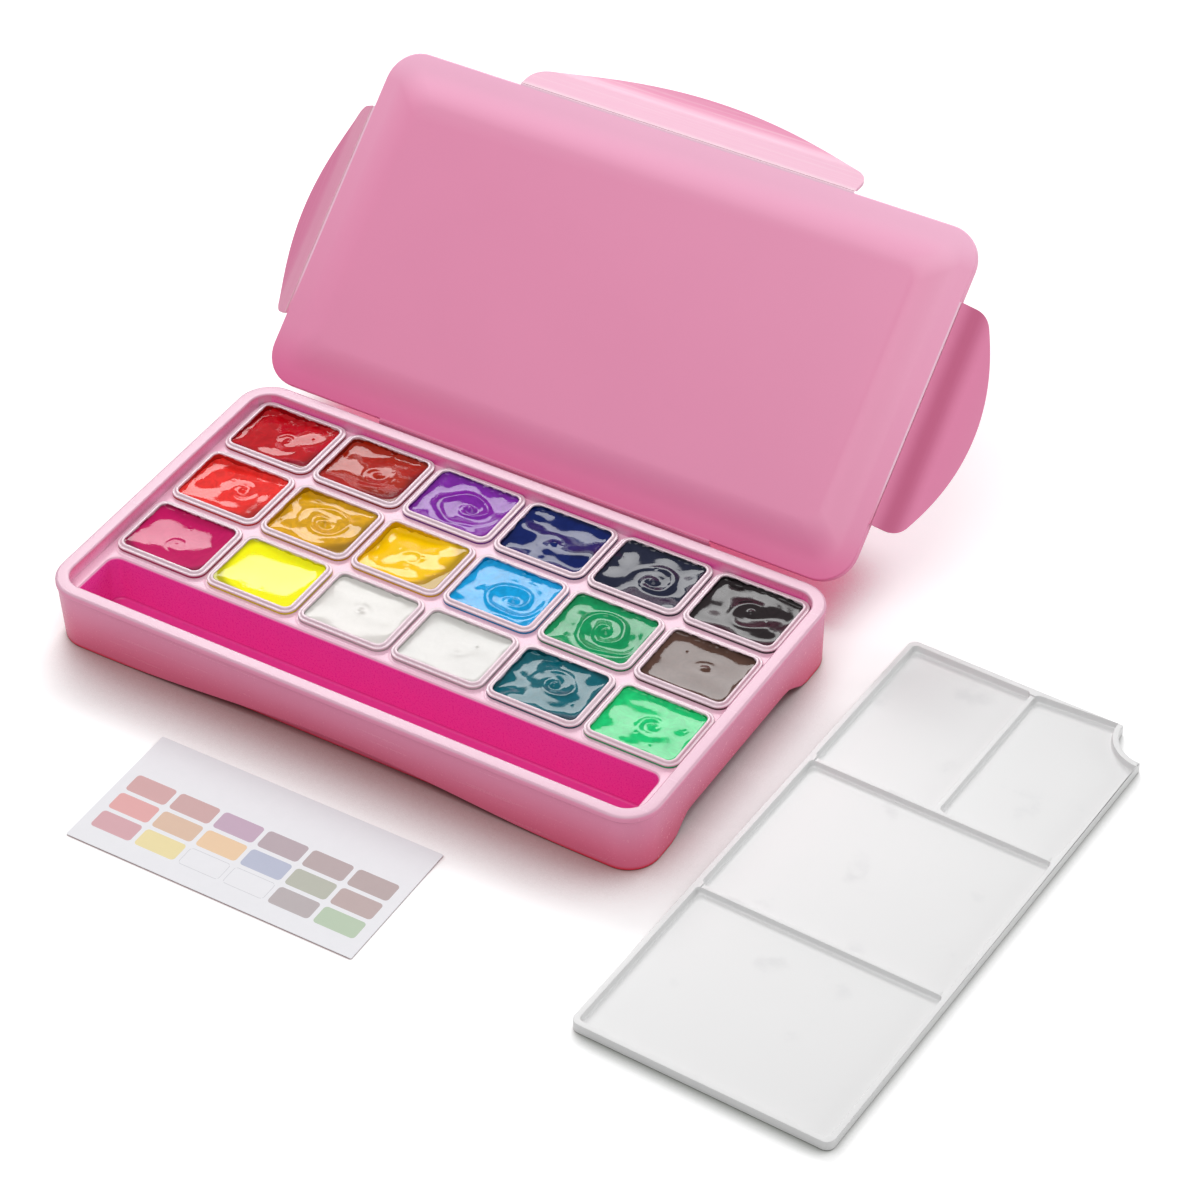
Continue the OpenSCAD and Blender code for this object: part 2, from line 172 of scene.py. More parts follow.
class Shell:
    """A mesh under construction, in millimetres."""

    def __init__(self) -> None:
        """Starts with nothing in it."""
        self.bm: BMesh = bmesh.new()
        self.soft = self.bm.edges.layers.float.new("soft")
        self.segments = self.bm.edges.layers.int.new("segments")

    def ring(self, plan: Plan, height: float) -> list[BMVert]:
        """Adds a level ring of points along an outline and returns them in order."""
        count = 4 * (plan.steps + 1)
        verts = bmesh.ops.create_circle(self.bm, cap_ends=False, radius=plan.corner, segments=count)["verts"]
        for index, vert in enumerate(verts):
            vert.co = (*plan.place(index), height)
        return verts

    def edges(self, verts: Sequence[BMVert]) -> list[BMEdge]:
        """Returns the edges that join a ring's points, one after the other."""
        pairs = zip(verts, [*verts[1:], verts[0]])
        return [edge for a, b in pairs if (edge := self.bm.edges.get((a, b)))]

    def open_edges(self, height: float) -> list[BMEdge]:
        """Returns the edges at a height that have a face on one side only."""
        return [e for e in self.bm.edges if e.is_boundary and all(abs(v.co.z - height) < EPS for v in e.verts)]

    def grow(self, verts: Sequence[BMVert], plan: Plan, height: float) -> list[BMVert]:
        """Extrudes a ring into the next one, with a strip of faces between them.

        Args:
            verts: the ring's points, in order.
            plan: the next ring's outline, with as many points.
            height: the next ring's height.

        Returns:
            The next ring's points, in the same order.
        """
        order = {vert: index for index, vert in enumerate(verts)}
        following = list(verts)
        for vert in new_verts(bmesh.ops.extrude_edge_only(self.bm, edges=self.edges(verts))):
            index = next(order[old] for edge in vert.link_edges if (old := edge.other_vert(vert)) in order)
            vert.co = (*plan.place(index), height)
            following[index] = vert
            for edge in vert.link_edges:
                edge[self.soft] = 0.0
        return following

    def cap(self, verts: Sequence[BMVert]) -> None:
        """Closes a ring with one flat face."""
        bmesh.ops.contextual_create(self.bm, geom=self.edges(verts))

    def loft(self, plan: Plan, stations: Iterable[Station], start: Sequence[BMVert] | None = None,
             cap_first: bool = False, cap_last: bool = False) -> list[list[BMVert]]:
        """Lofts rings that follow one plan, and marks those to be rounded.

        Args:
            plan: the outline that the stations are measured from.
            stations: the rings, in order.
            start: a ring that is already there, to start from.
            cap_first: whether a flat face closes the first ring.
            cap_last: whether a flat face closes the last ring.

        Returns:
            The rings, with start first where it was given.
        """
        rings = [list(start)] if start is not None else []
        for station in stations:
            outline = plan.inset(station.inset, station.corner)
            rings.append(self.grow(rings[-1], outline, station.height) if rings
                         else self.ring(outline, station.height))
            for edge in self.edges(rings[-1]):
                edge[self.soft], edge[self.segments] = station.soft, station.segments
        if cap_first:
            self.cap(rings[0])
        if cap_last:
            self.cap(rings[-1])
        return rings

    def fill(self, outer: Iterable[BMEdge], holes: Iterable[Sequence[BMVert]]) -> None:
        """Fills a level outline with faces, round the rings that are its holes."""
        edges = list(outer) + [edge for hole in holes for edge in self.edges(hole)]
        bmesh.ops.triangle_fill(self.bm, use_beauty=True, use_dissolve=False, edges=edges, normal=(0, 0, 1))

    def cut(self, axis: int, places: Iterable[float]) -> None:
        """Cuts the whole mesh across at values of x (axis 0) or y (axis 1), and takes nothing away."""
        normal = Vector((axis == 0, axis == 1, 0))
        for place in places:
            geom = [*self.bm.verts, *self.bm.edges, *self.bm.faces]
            bmesh.ops.bisect_plane(self.bm, geom=geom, plane_co=normal * place, plane_no=normal, dist=EPS)

    def bevel(self, edges: Sequence[BMEdge], radius: float, segments: int) -> None:
        """Rounds edges with a radius, in so many steps."""
        bmesh.ops.bevel(self.bm, geom=edges, offset=radius, offset_type="OFFSET", segments=segments,
                        profile=0.5, affect="EDGES", clamp_overlap=True, material=-1)

    def soften(self) -> None:
        """Rounds the edges that the lofts marked."""
        marked: dict[tuple[float, int], list[BMEdge]] = {}
        for edge in self.bm.edges:
            if edge[self.soft] > 0:
                marked.setdefault((edge[self.soft], edge[self.segments]), []).append(edge)
        for (radius, segments), edges in marked.items():
            self.bevel([edge for edge in edges if edge.is_valid], radius, segments)

    def soften_sharp(self, radius: float, limit: float = 50, segments: int = 2) -> None:
        """Rounds every edge whose faces meet at more than a limit, in degrees."""
        self.bevel([e for e in self.bm.edges if e.is_manifold and e.calc_face_angle() > math.radians(limit)],
                   radius, segments)

    def turn(self, matrix: Matrix) -> None:
        """Moves the whole mesh."""
        bmesh.ops.transform(self.bm, matrix=matrix, verts=self.bm.verts[:])

    def finish(self, name: str, finishes: Sequence[Material], weighted: bool = True, crease: float = 40) -> Object:
        """Makes the object, in metres, with its faces outwards.

        Args:
            name: the piece's name.
            finishes: its materials, by the number that its faces hold.
            weighted: whether large faces set the shading, as on bevelled plastic.
            crease: the angle between faces above which the shading breaks, in degrees.

        Returns:
            The object, at the origin, with its place in its mesh.
        """
        bmesh.ops.remove_doubles(self.bm, verts=self.bm.verts[:], dist=EPS)
        bmesh.ops.recalc_face_normals(self.bm, faces=self.bm.faces[:])
        bmesh.ops.scale(self.bm, vec=(MM, MM, MM), verts=self.bm.verts[:])
        mesh = bpy.data.meshes.new(name)
        self.bm.to_mesh(mesh)
        self.bm.free()
        for finish in finishes:
            mesh.materials.append(finish)
        mesh.polygons.foreach_set("use_smooth", [True] * len(mesh.polygons))
        mesh.set_sharp_from_angle(angle=math.radians(crease))
        piece = add_object(name, mesh)
        if weighted:
            piece.modifiers.new("even shading", "WEIGHTED_NORMAL").keep_sharp = True
        log.info("%s: %d faces", name, len(mesh.polygons))
        return piece


# ---- finishes ----


def linear(colour: Sequence[float]) -> Colour:
    """Returns a colour given as sRGB shares from 0 to 1, in linear light."""
    return tuple(c / 12.92 if c <= 0.04045 else ((c + 0.055) / 1.055) ** 2.4 for c in colour)


def blend(first: Sequence[float], second: Sequence[float], share: float) -> Colour:
    """Returns the mix of two colours, with the given share of the second."""
    return tuple(a + (b - a) * share for a, b in zip(first, second))


class Tree:
    """A node tree with short ways to add and join nodes."""

    def __init__(self, tree: NodeTree) -> None:
        """Keeps the tree to add to."""
        self.tree = tree

    def put(self, socket: NodeSocket, value: object) -> None:
        """Links an input to an output socket, or gives it a value."""
        if isinstance(value, NodeSocket):
            self.tree.links.new(value, socket)
        else:
            socket.default_value = (*value, 1.0) if socket.type == "RGBA" else value

    def add(self, kind: str, settings: dict | None = None, **inputs: object) -> Node:
        """Adds a node.

        Args:
            kind: the node's type, without the words that all shader nodes start with.
            settings: the node's own properties.
            inputs: values or output sockets for its inputs, by name with _ for a space.

        Returns:
            The node.
        """
        node = self.tree.nodes.new("ShaderNode" + kind)
        for key, value in (settings or {}).items():
            setattr(node, key, value)
        self.feed(node, **inputs)
        return node

    def feed(self, node: Node, **inputs: object) -> None:
        """Sets or links inputs, and takes the one that is in use where names repeat."""
        for key, value in inputs.items():
            name = key.replace("_", " ")
            self.put(next(s for s in node.inputs if s.name == name and s.enabled), value)

    def maths(self, operation: str, *values: object, clamp: bool = False) -> NodeSocket:
        """Adds a Math node with all the values that it takes, and returns its result."""
        node = self.add("Math", {"operation": operation, "use_clamp": clamp})
        for socket, value in zip(node.inputs, values):
            self.put(socket, value)
        return node.outputs[0]

    def times(self, first: object, second: object) -> NodeSocket:
        """Returns the product of two values."""
        return self.maths("MULTIPLY", first, second)

    def plus(self, first: object, second: object) -> NodeSocket:
        """Returns the sum of two values."""
        return self.maths("ADD", first, second)

    def less(self, first: object, second: object) -> NodeSocket:
        """Returns the first value less the second."""
        return self.maths("SUBTRACT", first, second)

    def mix(self, share: object, first: object, second: object, kind: str = "MIX") -> NodeSocket:
        """Adds a colour Mix node and returns its result."""
        node = self.add("Mix", {"data_type": "RGBA", "blend_type": kind})
        for index, value in ((0, share), (6, first), (7, second)):
            self.put(node.inputs[index], value)
        return node.outputs[2]

    def ramp(self, value: object, low: float, high: float, start: float = 0.0, end: float = 1.0) -> NodeSocket:
        """Returns a value carried smoothly from the span low to high onto the span start to end."""
        return self.add("MapRange", {"interpolation_type": "SMOOTHSTEP"}, Value=value, From_Min=low,
                        From_Max=high, To_Min=start, To_Max=end).outputs["Result"]

    def clouds(self, place: NodeSocket, scale: float, detail: float, **more: float) -> NodeSocket:
        """Returns the value of a Noise Texture."""
        return self.add("TexNoise", Vector=place, Scale=scale, Detail=detail, **more).outputs["Fac"]

    def mapped(self, place: NodeSocket, **more: Place) -> NodeSocket:
        """Returns coordinates that are moved, turned or stretched."""
        return self.add("Mapping", Vector=place, **more).outputs["Vector"]

    def split(self, place: NodeSocket, axis: str) -> NodeSocket:
        """Returns one axis of coordinates."""
        return self.add("SeparateXYZ", Vector=place).outputs[axis]

    def grey(self, tone: NodeSocket) -> NodeSocket:
        """Returns a grey of the given brightness."""
        return self.add("CombineColor", Red=tone, Green=tone, Blue=tone).outputs["Color"]

    def bump(self, height: NodeSocket, strength: float, distance: float) -> NodeSocket:
        """Returns the normal of a finely uneven surface."""
        return self.add("Bump", Height=height, Strength=strength, Distance=distance).outputs["Normal"]

    def seen(self) -> NodeSocket:
        """Returns 1 for what the camera sees directly or through something clear."""
        rays = self.add("LightPath").outputs
        return self.maths("MAXIMUM", rays["Is Camera Ray"], rays["Is Transmission Ray"])


class Group(Tree):
    """A shader node group under construction."""

    def __init__(self, name: str, inputs: dict[str, object], outputs: dict[str, str]) -> None:
        """Starts a group.

        Args:
            name: the group's name.
            inputs: each input's default: a number, a colour, or None for coordinates.
            outputs: each output's kind.
        """
        super().__init__(bpy.data.node_groups.new(name, "ShaderNodeTree"))
        for key, default in inputs.items():
            kind = "Vector" if default is None else "Color" if isinstance(default, tuple) else "Float"
            socket = self.tree.interface.new_socket(key, in_out="INPUT", socket_type="NodeSocket" + kind)
            if default is not None:
                socket.default_value = (*default, 1.0) if kind == "Color" else default
        for key, kind in outputs.items():
            self.tree.interface.new_socket(key, in_out="OUTPUT", socket_type="NodeSocket" + kind)
        self.given = self.tree.nodes.new("NodeGroupInput").outputs
        self.sink = self.tree.nodes.new("NodeGroupOutput")


@cache
def moulded_skin() -> NodeTree:
    """Returns the group for moulded plastic: faint flow marks, fine grain and tiny scratches."""
    tree = Group("moulded_skin", {"Vector": None, "Colour": (0.8, 0.8, 0.8), "Variation": 0.05, "Roughness": 0.3,
                                  "Grain": 0.1, "Scratches": 0.1},
                 {"Colour": "Color", "Roughness": "Float", "Normal": "Vector"})
    place, variation = tree.given["Vector"], tree.given["Variation"]
    flow = tree.clouds(place, 14.0, 3.0, Roughness=0.55)
    tone = tree.less(tree.maths("MULTIPLY_ADD", flow, variation, 1.0), tree.times(variation, 0.5))
    colour = tree.mix(1.0, tree.given["Colour"], tree.grey(tone), "MULTIPLY")
    lines = tree.mapped(place, Rotation=(0.0, 0.0, 0.35), Scale=(18.0, 420.0, 420.0))
    scratch = tree.ramp(tree.clouds(lines, 1.0, 2.0, Roughness=0.5), 0.64, 0.72)
    marks = tree.times(scratch, tree.given["Scratches"])
    grain = tree.clouds(place, 1100.0, 2.0, Roughness=0.6)
    uneven = tree.maths("MULTIPLY_ADD", grain, 0.08, tree.given["Roughness"])
    wave = tree.plus(tree.times(grain, tree.given["Grain"]), tree.times(flow, 2.0))
    tree.feed(tree.sink, Colour=tree.mix(marks, colour, tree.mix(0.5, colour, WHITE)),
              Roughness=tree.maths("ADD", uneven, tree.times(marks, 0.3), clamp=True),
              Normal=tree.bump(tree.less(wave, marks), 0.35, 0.00012))
    return tree.tree


@cache
def depth_mask() -> NodeTree:
    """Returns the group that gives 1 below a height, 0 above another, and a smooth change between."""
    tree = Group("depth_mask", {"Vector": None, "Low": 0.0, "High": 0.02, "Wobble": 0.002, "Ripple": 30.0},
                 {"Mask": "Float"})
    given = tree.given
    waves = tree.add("TexNoise", Vector=given["Vector"], Scale=given["Ripple"], Detail=2.0).outputs["Fac"]
    height = tree.plus(tree.split(given["Vector"], "Z"), tree.times(tree.less(waves, 0.5), given["Wobble"]))
    tree.feed(tree.sink, Mask=tree.ramp(height, given["Low"], given["High"], 1.0, 0.0))
    return tree.tree


class Finish(Tree):
    """A material under construction: its Principled BSDF and its Object coordinates."""

    def __init__(self, name: str) -> None:
        """Starts a material of that name."""
        self.material = bpy.data.materials.new(name)
        self.material.use_nodes = True
        super().__init__(self.material.node_tree)
        self.tree.nodes.clear()
        self.shader = self.add("BsdfPrincipled")
        self.out = self.add("OutputMaterial", Surface=self.shader.outputs["BSDF"])
        self.where = self.add("TexCoord").outputs["Object"]

    def set(self, **inputs: object) -> None:
        """Sets or links inputs of the Principled BSDF, by name with _ for a space."""
        self.feed(self.shader, **inputs)

    def attribute(self, name: str, output: str) -> NodeSocket:
        """Returns what the mesh holds under a name."""
        return self.add("Attribute", {"attribute_name": name, "attribute_type": "GEOMETRY"}).outputs[output]

    def below(self, low: float, high: float, **more: float) -> NodeSocket:
        """Returns 1 below the lower height and 0 above the higher one, in metres."""
        return self.add("Group", {"node_tree": depth_mask()}, Vector=self.where, Low=low, High=high,
                        **more).outputs["Mask"]

    def mould(self, colour: object, ior: float = MOULDED_IOR, **more: float) -> Node:
        """Gives the surface the moulded skin, and returns the skin's node."""
        skin = self.add("Group", {"node_tree": moulded_skin()}, Vector=self.where, Colour=colour, **more)
        out = skin.outputs
        self.set(Base_Color=out["Colour"], Roughness=out["Roughness"], Normal=out["Normal"], IOR=ior)
        return skin


@dataclass(frozen=True)
class Moulded:
    """A moulded plastic whose colour turns to a deeper one below a height, as painted shade, and whose level tops
    can take a paler colour, a painted highlight.
    """

    name: str
    colour: Colour
    # deep: painted shade, taken below the height low and fading out by high
    deep: Colour
    low: float = -0.02
    high: float = -0.01
    roughness: float = 0.3
    variation: float = 0.05
    grain: float = 0.2
    scratches: float = 0.08
    # tops: a painted highlight on level tops, where the mesh marks them
    tops: Colour | None = None
    # foot: a red glow painted along the bottom edge, for light that bleeds through the plastic onto the table
    foot: Colour | None = None
    foot_to: float = 0.0024

    def material(self) -> Material:
        """Returns the plastic's material, with its painted shade low down and its painted highlight on the level
        tops that the mesh marks.
        """
        look = Finish(self.name)
        base = look.mix(look.below(self.low, self.high), self.colour, self.deep)
        if self.foot:
            base = look.mix(look.below(0.0, self.foot_to, Wobble=0.0008), base, self.foot)
        if self.tops:
            base = look.mix(look.attribute("tops", "Fac"), base, self.tops)
        look.mould(base, Variation=self.variation, Roughness=self.roughness, Grain=self.grain,
                   Scratches=self.scratches)
        return look.material


@dataclass(frozen=True)
class FlapPlastic:
    """The lid's plastic on a latch: streaks along the hinge, a paler root and a lip of another colour. The root is
    stress whitening where it is near white, and painted light on the shaded latch, where it is pink; the lip colour
    is painted shade on the bright latch and painted light on the shaded one.
    """

    name: str
    # colour: lighter or darker per latch, painted light and shade for how much light its fold catches
    colour: Colour
    pale: Colour
    pale_root_to: float
    streaks: float
    lip: Colour
    lip_from: float = 0.0175
    lip_to: float = 0.0235
    roughness: float = 0.32

    def material(self) -> Material:
        """Returns the latch's material, which reads the flap's own UV map in metres."""
        look = Finish(self.name)
        flat = look.add("UVMap", {"uv_map": "flap"}).outputs["UV"]
        along = look.split(flat, "Y")
        lines = look.clouds(look.mapped(flat, Scale=(9.0, 700.0, 1.0)), 1.0, 4.0, Roughness=0.65)
        streak = look.times(look.ramp(lines, 0.45, 0.75), self.streaks)
        ragged = look.plus(along, look.times(look.clouds(flat, 90.0, 3.0), 0.0012))
        root = look.ramp(ragged, 0.0, self.pale_root_to, 1.0, 0.0)
        lip_light_and_shade = look.ramp(look.plus(along, look.times(lines, 0.001)), self.lip_from, self.lip_to)
        base = look.mix(look.maths("MAXIMUM", streak, root), look.mix(lip_light_and_shade, self.colour, self.lip), self.pale)
        look.mould(base, Variation=0.06, Roughness=self.roughness, Grain=0.2, Scratches=0.0)
        return look.material


@dataclass(frozen=True)
class CupPlastic:
    """A clear, slightly milky plastic that shows its paint's colour low on the flange."""

    name: str
    paint: Colour
    milk: Colour = linear((0.91, 0.81, 0.85))
    low: float = 0.0266
    high: float = 0.0273
    wobble: float = 0.0003
    ripple: float = 30.0

    def material(self) -> Material:
        """Returns the cup's material."""
        look = Finish(self.name)
        stained = look.below(self.low, self.high, Wobble=self.wobble, Ripple=self.ripple)
        look.mould(look.mix(stained, self.milk, blend(self.paint, BLACK, 0.3)), 1.49, Variation=0.04,
                   Roughness=0.18, Grain=0.08, Scratches=0.1)
        look.set(Transmission_Weight=0.1)
        return look.material


@dataclass(frozen=True)
class WetPaint:
    """Gouache with a wet skin: streaky pigment, dark rims of dried paint and a clear gloss."""

    name: str
    colour: Colour
    gloss: float
    mottle: float
    seed: float
    dried: tuple[float, float] = (0.0266, 0.0276)

    def material(self) -> Material:
        """Returns the paint's material."""
        look = Finish(self.name)
        shift = look.mapped(look.where, Location=(self.seed * 0.37, self.seed * 0.21, 0.0))
        swirl = look.clouds(shift, 140.0, 5.0, Roughness=0.6, Distortion=2.2)
        fine = look.clouds(shift, 420.0, 3.0, Distortion=1.2)
        dark = blend(self.colour, BLACK, self.mottle)
        light = tuple(min((1 + 1.6 * self.mottle) * c + 0.002, 0.97) for c in self.colour)
        base = look.mix(look.ramp(swirl, 0.3, 0.7), dark, light)
        dried = look.ramp(look.split(look.where, "Z"), *self.dried)
        look.set(Base_Color=look.mix(dried, base, blend(self.colour, BLACK, 0.55)), IOR=1.38,
                 Roughness=look.ramp(fine, 0.3, 0.8, self.gloss, self.gloss + 0.05),
                 Normal=look.bump(look.maths("MULTIPLY_ADD", swirl, 2.0, fine), 0.12, 0.00008))
        return look.material


@dataclass(frozen=True)
class Printed:
    """Coated card with pale printed swatches, whose colours are in the mesh's own attribute."""

    name: str = "card_paper"

    def material(self) -> Material:
        """Returns the card's material."""
        look = Finish(self.name)
        fibre = look.clouds(look.where, 1500.0, 4.0, Roughness=0.7)
        cloudy = look.plus(fibre, look.clouds(look.where, 160.0, 3.0))
        tone = look.grey(look.maths("MULTIPLY_ADD", cloudy, 0.04, 0.96))
        look.set(Base_Color=look.mix(1.0, look.attribute("ink", "Color"), tone, "MULTIPLY"),
                 Roughness=look.ramp(fibre, 0.3, 0.7, 0.48, 0.62), Normal=look.bump(fibre, 0.15, 0.00005))
        return look.material


@dataclass(frozen=True)
class PaletteWhite:
    """Glossy white plastic with faint worn patches."""

    name: str = "palette_white"
    colour: Colour = (0.77, 0.77, 0.77)
    dull: Colour = (0.55, 0.56, 0.60)

    def material(self) -> Material:
        """Returns the palette's material."""
        look = Finish(self.name)
        skin = look.mould(self.colour, 1.5, Variation=0.03, Roughness=0.3, Grain=0.05, Scratches=0.0).outputs
        worn = look.ramp(look.clouds(look.where, 38.0, 5.0, Roughness=0.6), 0.60, 0.72)
        look.set(Base_Color=look.mix(look.times(worn, 0.12), skin["Colour"], self.dull),
                 Roughness=look.plus(skin["Roughness"], look.times(worn, 0.15)))
        return look.material


# ---- the case ----


@dataclass
class Case:
    """The tray: double-walled rim, arched skirt, deck, wells with collars, and brush trough."""

    outline: Plan = Plan(310.0, 169.0, 16.5, steps=10)
    height: float = 32.0
    rim: float = 6.5
    deck: float = 25.5
    deck_under: float = 23.7
    floor: float = 1.6
    pad_rise: float = 0.25
    collar_top: float = 26.3
    arch_height: float = 6.5
    arch_below: float = 20.0
    # below each height, the shares of the arch's lift and of its scoop that a point takes
    arch_shares: tuple[tuple[float, float, float], ...] = (
        (1.0, 1.0, 1.0), (10.0, 0.45, 0.35), (math.inf, 0.12, 0.0))
    front_half: float = 128.0
    end_half: float = 58.0
    end_run: float = 17.0
    scoop: float = 0.9
    columns: tuple[float, ...] = (-122.5, -73.5, -24.5, 24.5, 73.5, 122.5)
    rows: tuple[float, ...] = (58.6, 17.1, -24.4)
    pad: Plan = Plan(48.7, 40.4, 7.5)
    pad_forward: float = 1.3
    well: Plan = Plan(46.4, 37.0, 5.5)
    pocket: Plan = Plan(46.8, 37.4, 5.7)
    trough: Plan = Plan(286.0, 30.55, 5.0, y=-62.575)
    trough_lip: float = 1.2
    # plastic: the skirt turns deeper pink towards its bottom as painted shade, a red glow is painted along the
    # foot, and the rim and deck tops are paler as a painted highlight
    plastic: Moulded = Moulded("case_pink", linear((0.925, 0.575, 0.71)), linear((0.92, 0.435, 0.57)),
                               low=0.003, high=0.031, roughness=0.22, scratches=0.05,
                               tops=linear((0.875, 0.70, 0.775)), foot=linear((0.90, 0.13, 0.22)))
    # hollow: a more saturated pink, painted shade for the light that bounces between the pink walls of the recess,
    # wells and trough; the pale tops on the deck are a painted highlight
    hollow: Moulded = Moulded("case_pink_painted_shade", linear((0.965, 0.50, 0.68)), linear((0.975, 0.31, 0.72)),
                              low=0.0245, high=0.0315, roughness=0.24, scratches=0.0,
                              tops=linear((0.945, 0.765, 0.84)))
    # bottom: the trough's floor, darker still as painted shade
    bottom: Moulded = Moulded("case_pink_floor_painted_shade", linear((0.88, 0.25, 0.60)), linear((0.88, 0.25, 0.60)),
                              roughness=0.3, grain=0.06, scratches=0.0)

    def build(self) -> None:
        """Builds the tray as one closed shell and places it on the case."""
        shell = Shell()
        self._rim(shell)
        self._arches(shell)
        self._deck(shell)
        self._underside(shell)
        shell.soften()
        piece = shell.finish("tray_moulding", [self.plastic.material(), self.hollow.material(),
                                               self.bottom.material()])
        self._dress(piece.data)
        self._mark_tops(piece.data)
        settle(piece, "case", "case_plastic", "tray_shell")

    def _rim(self, shell: Shell) -> None:
        """Lofts the skirt, the band round the rim, its flat top and the recess's wall."""
        shell.loft(self.outline, (
            Station(4.7, self.deck_under), Station(4.7, 29.6), Station(2.4, 29.6), Station(3.05, 9.0),
            Station(3.4, 0.0, 0.4), Station(1.6, 0.0, 0.5), Station(1.28, 9.0), Station(0.95, 18.5),
            Station(0.6, 28.4, 0.2, segments=2), Station(0.0, 29.0, 0.25, segments=2),
            Station(0.0, self.height, 1.3, segments=4), Station(self.rim, self.height, 0.9, segments=3),
            Station(self.rim, self.deck, 0.0),
        ))

    def _arches(self, shell: Shell) -> None:
        """Cuts the long walls across and lifts their feet into arches."""
        shell.cut(0, spread(-self.front_half, self.front_half, 29))
        shell.cut(1, spread(-self.end_half, self.end_half, 25))
        for vert in shell.bm.verts:
            x, y, z = vert.co
            if z > self.arch_below:
                continue
            on_front = abs(y) > self.outline.depth / 2 - 6
            on_end = abs(x) > self.outline.width / 2 - 6
            lift = 0.0
            if on_front and abs(x) < self.front_half:
                lift = rise((self.front_half - abs(x)) / (self.front_half - 1))
            elif on_end and abs(y) < self.end_half:
                lift = rise((self.end_half - abs(y)) / self.end_run)
            lifted, scooped = next(shares for top, *shares in self.arch_shares if z < top)
            vert.co.z = z + self.arch_height * lift * lifted
            inward = self.scoop * lift * scooped
            if on_front:
                vert.co.y -= math.copysign(inward, y)
            elif on_end:
                vert.co.x -= math.copysign(inward, x)

    def _deck(self, shell: Shell) -> None:
        """Fills the deck round its pads and the trough, and sinks wells and trough."""
        outer = shell.open_edges(self.deck)
        holes = []
        for y in self.rows:
            forward = self.pad_forward if y == self.rows[-1] else 0.0
            for x in self.columns:
                rings = shell.loft(replace(self.pad, x=x, y=y - forward),
                                   (Station(0.0, self.deck), Station(0.7, self.deck + self.pad_rise, 0.3)))
                holes.append(rings[0])
                shell.loft(replace(self.well, x=x, y=y), (
                    Station(0.0, self.deck + self.pad_rise), Station(0.0, self.collar_top, 0.2, segments=2),
                    Station(1.0, self.collar_top, 0.2, segments=2), Station(1.0, self.floor, 2.5),
                ), start=rings[1], cap_last=True)
        holes.append(self._trough(shell))
        shell.fill(outer, holes)

    def _trough(self, shell: Shell) -> list[BMVert]:
        """Sinks the brush trough, with a rolled back edge, and returns its top ring."""
        lip, steps, front = self.trough_lip, 4, self.trough.y - self.trough.depth / 2
        rings: list[list[BMVert]] = []
        for turn in spread(0.0, math.pi / 2, steps + 1):
            out, drop = lip * (1 - math.sin(turn)), lip * (1 - math.cos(turn))
            depth = self.trough.depth + out
            plan = Plan(self.trough.width + 2 * out, depth, self.trough.corner + out, y=front + depth / 2)
            rings.append(shell.grow(rings[-1], plan, self.deck - drop) if rings else shell.ring(plan, self.deck))
        shell.loft(self.trough, (Station(0.0, self.floor, 1.2, segments=3),), start=rings[-1], cap_last=True)
        return rings[0]

    def _underside(self, shell: Shell) -> None:
        """Closes the shell from below, round the outsides of the wells and the trough."""
        outer = shell.open_edges(self.deck_under)
        plans = [replace(self.pocket, x=x, y=y) for y in self.rows for x in self.columns]
        plans.append(self.trough.inset(-1.2))
        rings = [shell.loft(plan, (Station(0.0, self.deck_under), Station(0.0, 0.0, 1.0)), cap_last=True)[0]
                 for plan in plans]
        shell.fill(outer, rings)

    def _mark_tops(self, mesh: Mesh) -> None:
        """Marks the level tops of the rim and the deck, which catch the most light, for their painted highlight."""
        lowest = (self.deck - 1.0) * MM
        paint_top_highlight(mesh, lambda vert: rise((vert.normal.z - 0.2) / 0.6) if vert.co.z > lowest else 0.0)

    def _dress(self, mesh: Mesh) -> None:
        """Gives the recess, the wells and the trough the material with painted shade, and the trough's floor its
        darker painted shade.
        """
        inner_x, inner_y = self.outline.width / 2 - self.rim + 0.6, self.outline.depth / 2 - self.rim + 0.6
        for face in mesh.polygons:
            x, y, z = (c / MM for c in face.center)
            inside = abs(x) < inner_x and abs(y) < inner_y
            beside = abs(x) > inner_x - 1.4 or abs(y) > inner_y - 1.4
            band = abs(face.normal.z) < 0.9 and self.deck - 0.1 < z < self.height - 0.8 and beside
            sunk = z < self.deck - 0.5 and face.normal.z > -0.3
            low = z < self.floor + 1.5 and face.normal.z > 0.1
            level = z < self.collar_top + 0.5 and face.normal.z > 0.9
            face.material_index = (2 if low and sunk else 1) if inside and (sunk or band or level) else 0


# ---- the lid and its latches ----


@dataclass
class Hinges:
    """Where the living hinges run, with the lid closed."""

    lid_z: float = 32.3
    axis_z: float = 32.55
    axis_y: float = 85.3
    axis_x: float = 155.8
    open_angle: float = 140.0

    def opened(self) -> Matrix:
        """Returns the turn that takes the closed lid to where it stands open."""
        centre = Vector((0, self.axis_y, self.axis_z))
        return Matrix.Translation(centre) @ rotation(-self.open_angle, "X") @ Matrix.Translation(-centre)


